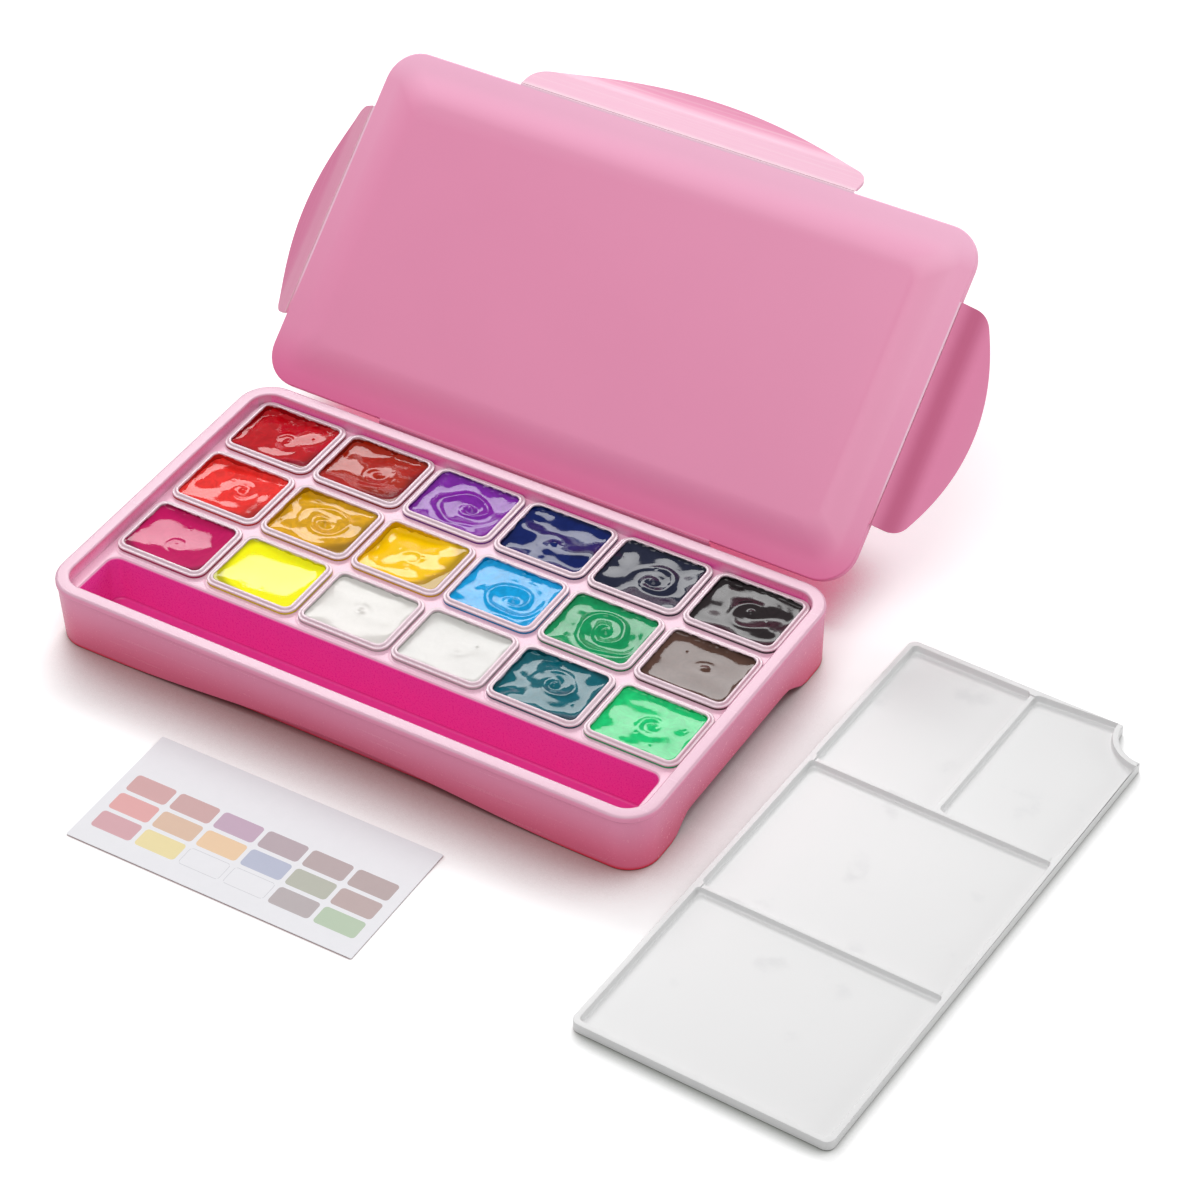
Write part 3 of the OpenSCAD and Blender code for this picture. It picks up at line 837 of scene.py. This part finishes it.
@dataclass
class Lid:
    """The lid: a flat border with an upstanding edge, and a raised centre."""

    outline: Plan = Plan(310.0, 169.0, 16.5, steps=10)
    hinges: Hinges = field(default_factory=Hinges)
    thick: float = 1.8
    edge: float = 4.0
    border: float = 6.9
    slope: float = 17.0
    sink: float = 3.0
    corner: float = 8.0
    slope_steps: int = 8
    # glint: the lid's top is painted paler as a highlight, from this height over this span, in millimetres
    glint_from: float = 124.0
    glint_over: float = 17.0
    web_in: float = 0.8
    web_thick: float = 0.5
    # plastic: painted shade low down near the tray, and a painted highlight at the top where the glint marks it
    plastic: Moulded = Moulded("lid_pink", linear((0.93, 0.575, 0.72)), linear((0.905, 0.42, 0.62)),
                               low=0.030, high=0.053, roughness=0.3, scratches=0.0,
                               tops=linear((1.0, 0.745, 0.86)))
    # web: the whitened crease, with painted shade lower down near the tray
    web: Moulded = Moulded("hinge_web", linear((0.96, 0.78, 0.86)), linear((0.91, 0.50, 0.66)), low=0.05, high=0.07,
                           roughness=0.4)

    def _slope(self, lift: float, back: bool) -> list[Station]:
        """Returns the stations of the S slope, lifted by a thickness, outwards or inwards."""
        base = self.hinges.lid_z + lift
        stations = [Station(self.border + self.slope * t, base - self.sink * rise(t),
                            corner=(self.outline.corner - self.border) * (1 - t) + self.corner * t)
                    for t in spread(0.0, 1.0, self.slope_steps + 1)]
        return stations if back else stations[::-1]

    def build(self) -> None:
        """Builds the lid closed, turns it open and places it."""
        z = self.hinges.lid_z
        shell = Shell()
        shell.loft(self.outline, [
            *self._slope(0.0, back=False), Station(0.0, z, 0.7), Station(0.0, z + self.edge, 0.6),
            Station(self.thick, z + self.edge, 0.6), Station(self.thick, z + self.thick, 0.5),
            *self._slope(self.thick, back=True),
        ], cap_first=True, cap_last=True)
        shell.soften()
        shell.turn(self.hinges.opened())
        piece = shell.finish("lid_moulding", [self.plastic.material()])
        paint_top_highlight(piece.data, lambda vert: rise((vert.co.z / MM - self.glint_from) / self.glint_over))
        settle(piece, "lid", "lid_plastic", "lid_panel")
        self._webs()

    def _webs(self) -> None:
        """Adds the whitened half of each living hinge that stays on the lid."""
        shell = Shell()
        for side in Side:
            latch = Latch(side)
            strip = bmesh.ops.create_grid(shell.bm, x_segments=24, y_segments=1, size=0.5)["verts"]
            stretch = Matrix.Diagonal((2 * latch.half, 1.0, 1.0, 1.0))
            place = (rotation(side.value[0], "Z")
                     @ Matrix.Translation((0, latch.out - self.web_in, self.hinges.lid_z)))
            bmesh.ops.transform(shell.bm, matrix=place @ stretch, verts=strip)
            faces = list(dict.fromkeys(f for v in strip for f in v.link_faces))
            grown = bmesh.ops.extrude_face_region(shell.bm, geom=faces, use_keep_orig=True)
            bmesh.ops.translate(shell.bm, vec=(0, 0, self.web_thick), verts=new_verts(grown))
        shell.soften_sharp(0.15)
        shell.turn(self.hinges.opened())
        piece = shell.finish("lid_hinge_webs", [self.web.material()])
        settle(piece, "lid", "lid_plastic")


class Side(Enum):
    """The four latches: turn about Z in degrees, body, and the CAD node that each replaces."""

    BACK = (0, "case", "back_latch")
    LEFT = (90, "left_flap", "left_latch")
    FRONT = (180, "front_flap", "front_latch")
    RIGHT = (270, "right_flap", "right_latch")

    @property
    def long(self) -> bool:
        """Whether the latch is on one of the long sides."""
        return self in (Side.BACK, Side.FRONT)


@dataclass
class Latch:
    """One curved flap: thin at its hinge, round at its ends, with a flared finger lip."""

    side: Side
    hinges: Hinges = field(default_factory=Hinges)
    reach: float = 28.45
    end: float = 13.6
    round_end: float = 10.0
    long_half: float = 88.0
    short_half: float = 53.0
    thick: float = 1.6
    web: float = 0.5
    lip: float = 12.0
    flare: float = 3.2
    fold_back: float = 44.0
    latched: float = 88.6
    columns: int = 72
    rows: int = 22

    @property
    def half(self) -> float:
        """Half the latch's length."""
        return self.long_half if self.side.long else self.short_half

    @property
    def out(self) -> float:
        """How far the latch's hinge line is from the case's middle."""
        return self.hinges.axis_y if self.side.long else self.hinges.axis_x

    def outline(self, x: float) -> float:
        """Returns how far the latch reaches out at a place along its hinge."""
        half, drop, fillet = self.half, self.reach - self.end, self.round_end
        radius = (half ** 2 + drop ** 2) / (2 * drop)
        centre = self.reach - radius
        corner_u = centre + math.sqrt((radius - fillet) ** 2 - (half - fillet) ** 2)
        touch = (half - fillet) * radius / (radius - fillet)
        if abs(x) <= touch:
            return centre + math.sqrt(radius * radius - x * x)
        return corner_u + math.sqrt(max(fillet ** 2 - (abs(x) - half + fillet) ** 2, 0.0))

    def inner(self, u: float) -> float:
        """Returns the height of the inner face at a distance from the hinge line."""
        past = max(0.0, u - self.reach + self.lip) / self.lip
        return -self.web / 2 - self.flare * past ** 1.5

    def thickness(self, u: float) -> float:
        """Returns the latch's thickness at a distance from the hinge line."""
        return self.web + (self.thick - self.web) * rise((u - 0.7) / 1.6)

    def build(self, finish: Material) -> None:
        """Builds the latch flat, rounds it, turns it into its place and adds it, in a finish."""
        shell = Shell()
        bm = shell.bm
        flap = bm.loops.layers.uv.new("flap")
        for vert in bmesh.ops.create_grid(bm, x_segments=self.columns, y_segments=self.rows, size=1.0)["verts"]:
            x = self.half * math.sin(math.pi / 2 * vert.co.x)
            u = (vert.co.y + 1) / 2 * self.outline(x)
            vert.co = (x, u, self.inner(u))
        for face in bm.faces:
            for loop in face.loops:
                loop[flap].uv = (loop.vert.co.x * MM, loop.vert.co.y * MM)
        for vert in new_verts(bmesh.ops.extrude_face_region(bm, geom=bm.faces[:], use_keep_orig=True)):
            vert.co.z += self.thickness(vert.co.y)
        bmesh.ops.recalc_face_normals(bm, faces=bm.faces[:])
        shell.soften_sharp(0.22, limit=60)
        shell.turn(self.place())
        _, body, node = self.side.value
        piece = shell.finish(node.replace("latch", "flap_moulding"), [finish], crease=55)
        settle(piece, body, "lid_plastic", node)

    def place(self) -> Matrix:
        """Returns the turns that take the flat latch to its place at rest."""
        closed = self.side is Side.BACK
        angle = -self.latched if closed else self.fold_back
        set_in = (rotation(self.side.value[0], "Z") @ Matrix.Translation((0, self.out, self.hinges.axis_z))
                  @ rotation(angle, "X"))
        return set_in if closed else self.hinges.opened() @ set_in


# ---- cups and paints ----


@dataclass(frozen=True)
class Gouache:
    """One colour, and how its surface was left by the filling nozzle."""

    name: str
    srgb: Colour
    swirl: float = 0.3
    pitch: float = 9.0
    reach: float = 13.0
    start: float = 0.0
    lumps: float = 0.8
    tilt: tuple[float, float] = (0.0, 0.0)
    border: float = 1.8
    peak: float = 0.5
    centre: tuple[float, float] = (0.0, 0.0)
    residue: float = 0.9
    gloss: float = 0.05
    bubbles: int = 1
    mottle: float = 0.1

    @property
    def colour(self) -> Colour:
        """The paint's colour in linear light."""
        return linear(self.srgb)


PAINTS: tuple[Gouache, ...] = (
    Gouache("deep_red", (0.72, 0, 0.07), 0.35, 8, 11, 0.1, 1, (0.03, -0.07), 2.4, 0.6, (2, 0), 1.4, bubbles=3),
    Gouache("burnt_sienna", (0.65, 0.13, 0.03), 0.3, 9, 10, 0.4, 0.8, (0.05, -0.05), 3, 0.7, (2, 0), 2.2),
    Gouache("violet", (0.48, 0.12, 0.62), 0.85, 9, 17, 0.6, 1.1, (0, -0.01), 2.2, 1.3, (2, 0), 2.2),
    Gouache("ultramarine", (0, 0.1, 0.37), 0.3, 11, 10, 0.2, 1.6, (0.03, 0.02), 2.6, 0.7, (0, -1), 1),
    Gouache("indigo", (0.1, 0.12, 0.21), 0.7, 11, 14, 0.7, 1.3, (0, 0.03), 2.6, 0.9, (3, -1), 1.6),
    Gouache("black", (0.14, 0.11, 0.12), 0.5, 12, 15, 0.3, 1.6, (0, -0.03), 1.8, 0.7, (2, 2), 1.6, gloss=0.09),
    Gouache("vermilion", (0.91, 0.17, 0.15), 0.5, 7.5, 10, 0.5, 1, (0.03, -0.07), 2, 0.9, (4, 1)),
    Gouache("ochre", (0.84, 0.62, 0), 0.4, 7.5, 16, 0.2, 0.7, (0.06, -0.03), 2.4, 1.6, (1, 1)),
    Gouache("orange_yellow", (1, 0.79, 0), 0.25, 8, 10, 0, 1, (0.08, -0.04), 2.2, 0.2, bubbles=5, mottle=0.02),
    Gouache("sky_blue", (0, 0.62, 0.86), 0.8, 8.5, 16, 0.8, 1.2, (0, 0), 1.8, 1.3, (4, -1)),
    Gouache("green", (0, 0.57, 0.34), 0.9, 8, 18, 0.4, 0.9, (0, 0), 2, 1.1, (2, 1)),
    Gouache("umber", (0.33, 0.225, 0.185), 0.05, 10, 9, 0.1, 0.3, (-0.012, -0.012), 2.6, 0.4, (2, 3), 1.8),
    Gouache("rose", (0.76, 0, 0.36), 0.22, 7, 8, 0.3, 0.35, (-0.005, -0.03), 6.5, 0.1, (1, -3), 1.9, mottle=0.04),
    Gouache("lemon_yellow", (1, 0.97, 0), 0, 14, 8, 0, 0.12, (-0.035, -0.025), 5, 0, residue=0.5, bubbles=2,
            mottle=0.02),
    Gouache("white", (0.84, 0.83, 0.81), 0.1, 10, 8, 0, 0.5, (0, 0), 2, 0.3, residue=0.5, gloss=0.14, mottle=0.01),
    Gouache("zinc_white", (0.82, 0.815, 0.8), 0.08, 11, 8, 0, 0.4, (0, 0), 2, 0.1, residue=0.7, gloss=0.14,
            mottle=0.01),
    Gouache("teal", (0, 0.37, 0.42), 0.55, 9, 13, 0.5, 1.6, (0.035, -0.03), 2.6, 0.8, (1, 1), 1.6),
    Gouache("bright_green", (0.07, 0.78, 0.45), 0.5, 9, 10, 0.2, 0.6, (0, 0), 1.9, 0.9, (2, 0), 1.5, bubbles=5),
)


@dataclass
class Cup:
    """A clear cup in its well, with a flange, a hem under it and a raised lip."""

    paint: Gouache
    x: float
    y: float
    number: int
    bottom: float = 2.3
    flange: float = 26.3
    flange_top: float = 27.5
    hem: float = 25.85
    lip: float = 28.3

    def build(self) -> None:
        """Builds the cup and its paint."""
        name, colour = self.paint.name, self.paint.colour
        shell = Shell()
        shell.loft(Plan(47.4, 38.0, 6.0, self.x, self.y, steps=7), (
            Station(1.9, self.bottom, 1.0, corner=4.1), Station(1.9, self.flange, corner=4.1),
            Station(0.42, self.flange), Station(0.42, self.hem), Station(0.0, self.hem, 0.12, segments=2),
            Station(0.0, self.flange_top, 0.35), Station(1.25, self.flange_top, 0.25, segments=2),
            Station(1.7, self.lip, 0.35), Station(2.9, self.lip, 0.35), Station(2.9, self.bottom + 1.0, 0.9),
        ), cap_first=True, cap_last=True)
        shell.soften()
        plastic = CupPlastic("cup_plastic_" + name, colour)
        film = CupPlastic("cup_film_" + name, colour, low=0.0272, high=0.0278, wobble=0.003, ripple=240.0)
        piece = shell.finish("clear_cup_" + name, [plastic.material(), film.material()])
        self._dress(piece.data)
        settle(piece, "pot_" + name, "cup_plastic", "cup_" + name)
        Fill(self.paint, self.x, self.y, self.number).build()

    def _dress(self, mesh: Mesh) -> None:
        """Gives the inside of the wall the finish with a film of paint on it."""
        for face in mesh.polygons:
            x, y, z = (c / MM for c in face.center)
            inward = face.normal.x * (x - self.x) + face.normal.y * (y - self.y) < 0
            face.material_index = int(inward and z > self.bottom + 1)


@dataclass
class Fill:
    """The paint in one cup: a body with a stirred, wet surface that clings to the walls."""

    paint: Gouache
    x: float
    y: float
    number: int
    mouth: Plan = Plan(41.4, 32.0, 3.1)
    level: float = 25.75
    bottom: float = 3.35
    top_limit: float = 28.1
    columns: int = 78
    rows: int = 62

    def relief(self, x: float, y: float) -> float:
        """Returns the surface's height above its level at a place in the cup.

        Args:
            x: distance right of the cup's middle.
            y: distance behind the cup's middle.

        Returns:
            The height, in millimetres.
        """
        paint, seed = self.paint, self.number * 7.31
        wander = Vector((x / 16, y / 14, seed))
        dx = x - paint.centre[0] + 2.6 * noise.noise(wander)
        dy = y - paint.centre[1] + 2.2 * noise.noise(wander + Vector((5.3, 0.0, 2.1)))
        away = math.hypot(dx, dy * 1.15)
        turns = away / paint.pitch - math.atan2(dy, dx) / (2 * math.pi) + paint.start
        off = (turns % 1.0 - 0.5) / 0.2
        ridge = paint.swirl * math.exp(-off * off) * rise((away - 1.0) / 2.5) * rise((paint.reach - away) / 5)
        broad = paint.lumps * noise.noise(Vector((x / 13, y / 10, seed + 3.7)))
        tip = paint.peak * (math.exp(-(away / 1.5) ** 2) - 0.3 * math.exp(-((away - 3.4) / 1.6) ** 2))
        brush = 0.008 * noise.noise(Vector((x / 2.4, y / 2.4, seed + 9.1)))
        return (ridge + broad + tip + brush + paint.tilt[0] * x + paint.tilt[1] * y
                + self.cling(x, y, seed) + self.pits(x, y))

    def cling(self, x: float, y: float, seed: float) -> float:
        """Returns how far the paint climbs the wall, most of all at the back."""
        half_x, half_y = self.mouth.width / 2, self.mouth.depth / 2
        side = min(half_x - abs(x), half_y - abs(y))
        ragged = 0.5 + noise.noise(Vector((x / 3.1, y / 3.1, seed + 1.3)))
        slack = self.paint.border * (1 + 0.2 * noise.noise(Vector((x / 14, y / 12, seed + 6.2))))
        bowl = math.cosh(x / slack) / math.cosh(half_x / slack) + math.cosh(y / slack) / math.cosh(half_y / slack)
        depth = 0.3 * slack * bowl - 0.42 * max(0.0, slack - 3)
        climb = 0.3 * max(0.0, ragged + 0.3) * math.exp(-side / 0.7) + depth
        return climb + self.paint.residue * max(0.0, ragged) * math.exp((y - half_y) / 0.35)

    def pits(self, x: float, y: float) -> float:
        """Returns the dents that burst bubbles left."""
        dent = 0.0
        for k in range(self.paint.bubbles):
            spot = self._spot(k)
            away = math.hypot(x - spot[0], y - spot[1])
            if away < 2:
                dent -= 0.4 * math.exp(-(away / 0.5) ** 2) - 0.1 * math.exp(-((away - 0.85) / 0.25) ** 2)
        return dent

    def _spot(self, k: int) -> tuple[float, float]:
        """Returns the place of a bubble, the same in every run."""
        cell = noise.cell_vector(Vector((self.number + 0.5, k * 3 + 0.5, 0.5)))
        return ((cell.x - 0.5) * self.mouth.width * 0.75, (cell.y - 0.5) * self.mouth.depth * 0.7)

    def build(self) -> None:
        """Builds the paint and places it with its cup."""
        shell = Shell()
        bm = shell.bm
        for vert in bmesh.ops.create_grid(bm, x_segments=self.columns, y_segments=self.rows, size=1.0)["verts"]:
            u, v = (t * (1.2 - 0.2 * t * t) for t in vert.co.xy)
            x, y = self.mouth.hold(u * self.mouth.width / 2, v * self.mouth.depth / 2)
            vert.co = (x + self.x, y + self.y, min(self.level + self.relief(x, y), self.top_limit))
        rim = [e for e in bm.edges if e.is_boundary]
        for vert in new_verts(bmesh.ops.extrude_edge_only(bm, edges=rim)):
            vert.co.z = self.bottom
        bmesh.ops.contextual_create(bm, geom=[e for e in bm.edges if e.is_boundary])
        paint = self.paint
        wet = WetPaint("gouache_" + paint.name, paint.colour, paint.gloss, paint.mottle, self.number)
        piece = shell.finish("gouache_" + paint.name, [wet.material()], weighted=False, crease=60)
        settle(piece, "pot_" + paint.name, "paint_" + paint.name, "paint_" + paint.name)


# ---- palette and card ----


@dataclass
class Palette:
    """The white mixing palette: four pans, low ribs and a finger notch in one corner."""

    notch_radius = 17.0
    width: float = 122.0
    length: float = 271.0
    height: float = 5.0
    corner: float = 4.0
    rim: float = 2.6
    rib: float = 2.2
    rib_drop: float = 0.5
    floor: float = 1.6
    back_rib: float = 47.5
    front_rib: float = -42.6
    pan_rib: float = 1.7
    x: float = 238.0
    y: float = -36.7
    turn: float = -2.3

    def pans(self) -> list[Plan]:
        """Returns the four pans' outlines, on the palette's own axes."""
        inner_x, inner_y, half = self.width / 2 - self.rim, self.length / 2 - self.rim, self.rib / 2
        spans = (
            (-inner_x, inner_x, -inner_y, self.front_rib - half, 0.0),
            (-inner_x, inner_x, self.front_rib + half, self.back_rib - half, 0.0),
            (-inner_x, self.pan_rib - half, self.back_rib + half, inner_y, 0.0),
            (self.pan_rib + half, inner_x, self.back_rib + half, inner_y, self.notch_radius + self.rim),
        )
        return [Plan(x1 - x0, y1 - y0, 2.4, (x0 + x1) / 2, (y0 + y1) / 2, 10, notch)
                for x0, x1, y0, y1, notch in spans]

    def build(self) -> None:
        """Builds the palette and lays it on the table."""
        shell = Shell()
        edge = Plan(self.width, self.length, self.corner, steps=10, notch=self.notch_radius)
        outer = shell.loft(edge, (Station(0.0, 0.0, 0.5), Station(0.0, self.height, 0.55)), cap_first=True)
        tops = []
        for pan in self.pans():
            rings = shell.loft(pan, (Station(0.0, self.height, 0.5), Station(0.3, self.floor, 0.8, segments=3)),
                               cap_last=True)
            tops.append(rings[0])
        shell.fill(shell.edges(outer[1]), tops)
        self._lower_ribs(shell)
        shell.soften()
        for vert in shell.bm.verts:
            vert.co = (min(vert.co.x, self.width / 2), min(vert.co.y, self.length / 2), min(vert.co.z, self.height))
        shell.turn(Matrix.Translation((self.x, self.y, 0)) @ rotation(self.turn, "Z"))
        piece = shell.finish("palette_moulding", [PaletteWhite().material()])
        settle(piece, "mixing_palette", "palette_plastic", "palette")

    def _lower_ribs(self, shell: Shell) -> None:
        """Sinks the ribs' tops below the rim."""
        inner_x, inner_y = self.width / 2 - self.rim - 1.2, self.length / 2 - self.rim - 1.2
        for vert in shell.bm.verts:
            x, y, z = vert.co
            if abs(z - self.height) < EPS and abs(x) < inner_x and abs(y) < inner_y:
                corner = math.hypot(x - self.width / 2, y - self.length / 2)
                if corner > self.notch_radius + self.rim + 1.0:
                    vert.co.z -= self.rib_drop


@dataclass
class Card:
    """The colour card: pale printed swatches of the paints, three rows of six, and no words."""

    width: float = 145.6
    depth: float = 69.4
    thick: float = 0.4
    x: float = 1.3
    y: float = -146.8
    swatch: Plan = Plan(20.7, 10.4, 1.8, steps=5)
    pitch_x: float = 22.85
    pitch_y: float = 12.5
    back_row: float = 5.0
    paper: Colour = linear((0.915, 0.915, 0.93))
    line: Colour = (0.35, 0.35, 0.38)
    outline: float = 0.25
    ink_share: float = 0.6
    fade: Colour = linear((0.80, 0.50, 0.42))

    def build(self) -> None:
        """Builds the card, fills its swatches and lays it on the table."""
        shell = Shell()
        ink = shell.bm.loops.layers.float_color.new("ink")
        sheet = Plan(self.width, self.depth, 0.6, self.x, self.y, steps=3)
        outer = shell.loft(sheet, (Station(0.0, 0.0), Station(0.0, self.thick)), cap_first=True)
        rings, inks = [], []
        for number, paint in enumerate(PAINTS):
            plan = self.place(number)
            rings.append(shell.ring(plan, self.thick))
            if "white" in paint.name:
                within = plan.inset(self.outline)
                shell.cap(shell.grow(rings[-1], within, self.thick))
                inks += [(plan, blend(self.paper, self.line, 0.5)), (within, self.paper)]
            else:
                shell.cap(rings[-1])
                inks.append((plan, blend(self.paper, blend(paint.colour, self.fade, 0.4), self.ink_share)))
        shell.fill(shell.edges(outer[1]), rings)
        for face in shell.bm.faces:
            colour = self.paper
            if face.calc_center_median().z > self.thick - EPS:
                colour = next((tint for plan, tint in reversed(inks) if plan.holds(face.verts)), colour)
            for loop in face.loops:
                loop[ink] = (*colour, 1.0)
        piece = shell.finish("printed_card", [Printed().material()], weighted=False)
        settle(piece, "card", "card_paper", "colour_card")

    def place(self, number: int) -> Plan:
        """Returns the outline of a swatch, in the order of the cups."""
        row, column = divmod(number, 6)
        return replace(self.swatch, x=self.x + (column - 2.5) * self.pitch_x,
                       y=self.y + self.back_row - row * self.pitch_y)


# ---- stage ----


@dataclass(frozen=True)
class Lamp:
    """One soft rectangular lamp, in metres, and how bright its face looks."""

    name: str
    place: Place
    aim: Place
    size: tuple[float, float]
    radiance: float

    def build(self) -> None:
        """Hangs the lamp and turns it to what it faces."""
        data = bpy.data.lights.new(self.name, "AREA")
        data.shape = "RECTANGLE"
        data.size, data.size_y = self.size
        data.energy = self.radiance * math.pi * self.size[0] * self.size[1]
        facing = (Vector(self.aim) - Vector(self.place)).to_track_quat("-Z", "Y")
        add_object(self.name, data).matrix_world = Matrix.Translation(self.place) @ facing.to_matrix().to_4x4()


@dataclass
class Studio:
    """Camera, lamps, world and floor."""

    focal: float = 4036.852
    frame_px: float = 1200.0
    sensor: float = 36.0
    azimuth: float = 32.534
    elevation: float = 41.117
    roll: float = -1.768
    eye: Place = (781.2, -1092.549, 1192.991)
    sky: float = 0.40
    lamps: tuple[Lamp, ...] = (
        Lamp("softbox", (-0.72, 1.10, 1.16), (0.0, 0.0, 0.02), (1.0, 0.5), 7.5),
        Lamp("overhead", (0.15, -0.75, 2.1), (0.05, 0.05, 0.03), (1.6, 1.4), 2.95),
        Lamp("side fill", (1.7, 0.9, 0.35), (0.1, 0.0, 0.02), (1.1, 0.6), 3.4),
    )
    floor_half: float = 6.0
    floor_colour: Colour = (0.88, 0.88, 0.88)
    floor_glow: float = 0.3
    shadow_tint: Colour = (0.34, 0.17, 0.175)
    far_tint: Colour = (0.24, 0.25, 0.23)
    # a pink shade painted on the floor under the lid, which shows through the slit between the case and the lid
    under_lid_shade: Colour = (0.95, 0.22, 0.42)
    shadow_reach: float = 0.047
    cover_reach: float = 0.14
    light_from: Place = (-0.25, 0.73, 0.64)
    # where the floor's painted shadow tints and glow change, in metres: the slit between case and lid runs
    # along x, and the cooler painted shadow lies on the palette's side
    slit_half: tuple[float, float] = (0.13, 0.165)
    slit_near: tuple[float, float] = (0.084, 0.1)
    slit_far: tuple[float, float] = (0.125, 0.16)
    far_side: tuple[float, float] = (0.155, 0.18)
    glow_span: tuple[float, float] = (0.45, 1.1)

    def axes(self) -> tuple[Vector, Vector, Vector]:
        """Returns the camera's right, up and backward directions."""
        az, el, roll = (math.radians(a) for a in (self.azimuth, self.elevation, self.roll))
        back = Vector((math.sin(az) * math.cos(el), -math.cos(az) * math.cos(el), math.sin(el)))
        right = Vector((0, 0, 1)).cross(back).normalized()
        up = back.cross(right)
        return (math.cos(roll) * right + math.sin(roll) * up, math.cos(roll) * up - math.sin(roll) * right, back)

    def build(self) -> None:
        """Sets up the whole stage."""
        self._camera()
        for lamp in self.lamps:
            lamp.build()
        self._world()
        self._floor()
        bpy.context.scene.view_settings.view_transform = "Standard"

    def _camera(self) -> None:
        """Places the camera where the photograph's was."""
        data = bpy.data.cameras.new("camera")
        data.sensor_fit = "HORIZONTAL"
        data.sensor_width = self.sensor
        data.lens = self.focal / self.frame_px * self.sensor
        data.clip_start, data.clip_end = 0.05, 50.0
        camera = add_object("camera", data)
        camera.matrix_world = Matrix.Translation(Vector(self.eye) * MM) @ Matrix(self.axes()).transposed().to_4x4()
        bpy.context.scene.camera = camera

    def _world(self) -> None:
        """Fills the room with even light that looks white to the camera."""
        world = bpy.data.worlds.new("studio")
        world.use_nodes = True
        world.node_tree.nodes.clear()
        tree = Tree(world.node_tree)
        light = tree.add("Background", Color=WHITE, Strength=tree.ramp(tree.seen(), 0.0, 1.0, self.sky, 1.0))
        tree.add("OutputWorld", Surface=light.outputs[0])
        bpy.context.scene.world = world

    def _floor(self) -> None:
        """Lays a pale floor that keeps the shadows and looks white where it is lit."""
        bm = bmesh.new()
        bmesh.ops.create_grid(bm, x_segments=1, y_segments=1, size=self.floor_half,
                              matrix=Matrix.Translation((0, 0, -0.0002)))
        mesh = bpy.data.meshes.new("floor")
        bm.to_mesh(mesh)
        bm.free()
        mesh.materials.append(self._floor_finish())
        add_object("floor", mesh)

    def _floor_finish(self) -> Material:
        """Returns the floor's material, with shadow painted near the case from ambient occlusion and a pink shade
        painted under the lid, glowing where it lies open.
        """
        look = Finish("floor_white")
        x, y = look.split(look.where, "X"), look.split(look.where, "Y")
        towards = look.add("CombineXYZ", **dict(zip("XYZ", self.light_from))).outputs["Vector"]
        near = look.add("AmbientOcclusion", {"samples": 16}, Distance=self.shadow_reach, Normal=towards)
        above = look.add("AmbientOcclusion", {"samples": 8}, Distance=self.cover_reach)
        within = look.ramp(look.maths("ABSOLUTE", x), *self.slit_half, 1.0, 0.0)
        behind = look.times(look.less(look.ramp(y, *self.slit_near), look.ramp(y, *self.slit_far)), within)
        covered = look.times(look.ramp(above.outputs["AO"], 0.35, 0.8, 1.0, 0.0), behind)
        open_sky = look.times(look.ramp(near.outputs["AO"], 0.2, 0.88), look.less(1.0, covered))
        tint = look.mix(look.ramp(x, *self.far_side), self.shadow_tint, self.far_tint)
        tint = look.mix(covered, tint, self.under_lid_shade)
        look.set(Base_Color=look.mix(open_sky, tint, self.floor_colour), Roughness=0.6, Specular_IOR_Level=0.2)
        away = look.add("VectorMath", {"operation": "LENGTH"}, Vector=look.where).outputs["Value"]
        far = look.ramp(away, *self.glow_span, self.floor_glow, 1.0)
        strength = look.times(look.times(look.seen(), open_sky), far)
        glow = look.add("Emission", Color=WHITE, Strength=strength)
        both = look.add("AddShader")
        for socket, shader in zip(both.inputs, (look.shader, glow)):
            look.put(socket, shader.outputs[0])
        look.feed(look.out, Surface=both.outputs[0])
        return look.material


# ---- the whole set ----


def flap_finishes() -> dict[Side, Material]:
    """Returns the material of each latch, with light and shade painted into its colour by how much light its fold
    catches.
    """
    pink = linear((0.87, 0.50, 0.65))
    looks = {
        # the front latch is paler as painted light, with a darker lip as painted shade; the right latch is darker
        # as painted shade, with a pink root and a lighter lip as painted light
        Side.FRONT: FlapPlastic("flap_pink_painted_light", linear((0.915, 0.69, 0.785)), linear((0.94, 0.80, 0.85)),
                                0.004, 0.4, linear((0.90, 0.55, 0.69))),
        Side.RIGHT: FlapPlastic("flap_pink_painted_shade", linear((0.80, 0.40, 0.55)), linear((0.90, 0.52, 0.67)),
                                0.008, 0.02, linear((0.925, 0.55, 0.70)), 0.0095, 0.019),
        Side.BACK: FlapPlastic("flap_pink_tucked", pink, pink, 0.0016, 0.1, pink),
        Side.LEFT: FlapPlastic("flap_pink", pink, linear((0.93, 0.80, 0.83)), 0.0016, 0.1, pink),
    }
    return {side: look.material() for side, look in looks.items()}


def main() -> None:
    """Builds the paint box, its palette and card, and the stage."""
    logging.basicConfig(level=logging.INFO, format="%(name)s: %(message)s")
    Studio().build()
    case = Case()
    case.build()
    Lid().build()
    finishes = flap_finishes()
    for side in Side:
        Latch(side).build(finishes[side])
    for number, paint in enumerate(PAINTS):
        row, column = divmod(number, len(case.columns))
        Cup(paint, case.columns[column], case.rows[row], number).build()
    Palette().build()
    Card().build()


if __name__ == "__main__":
    main()
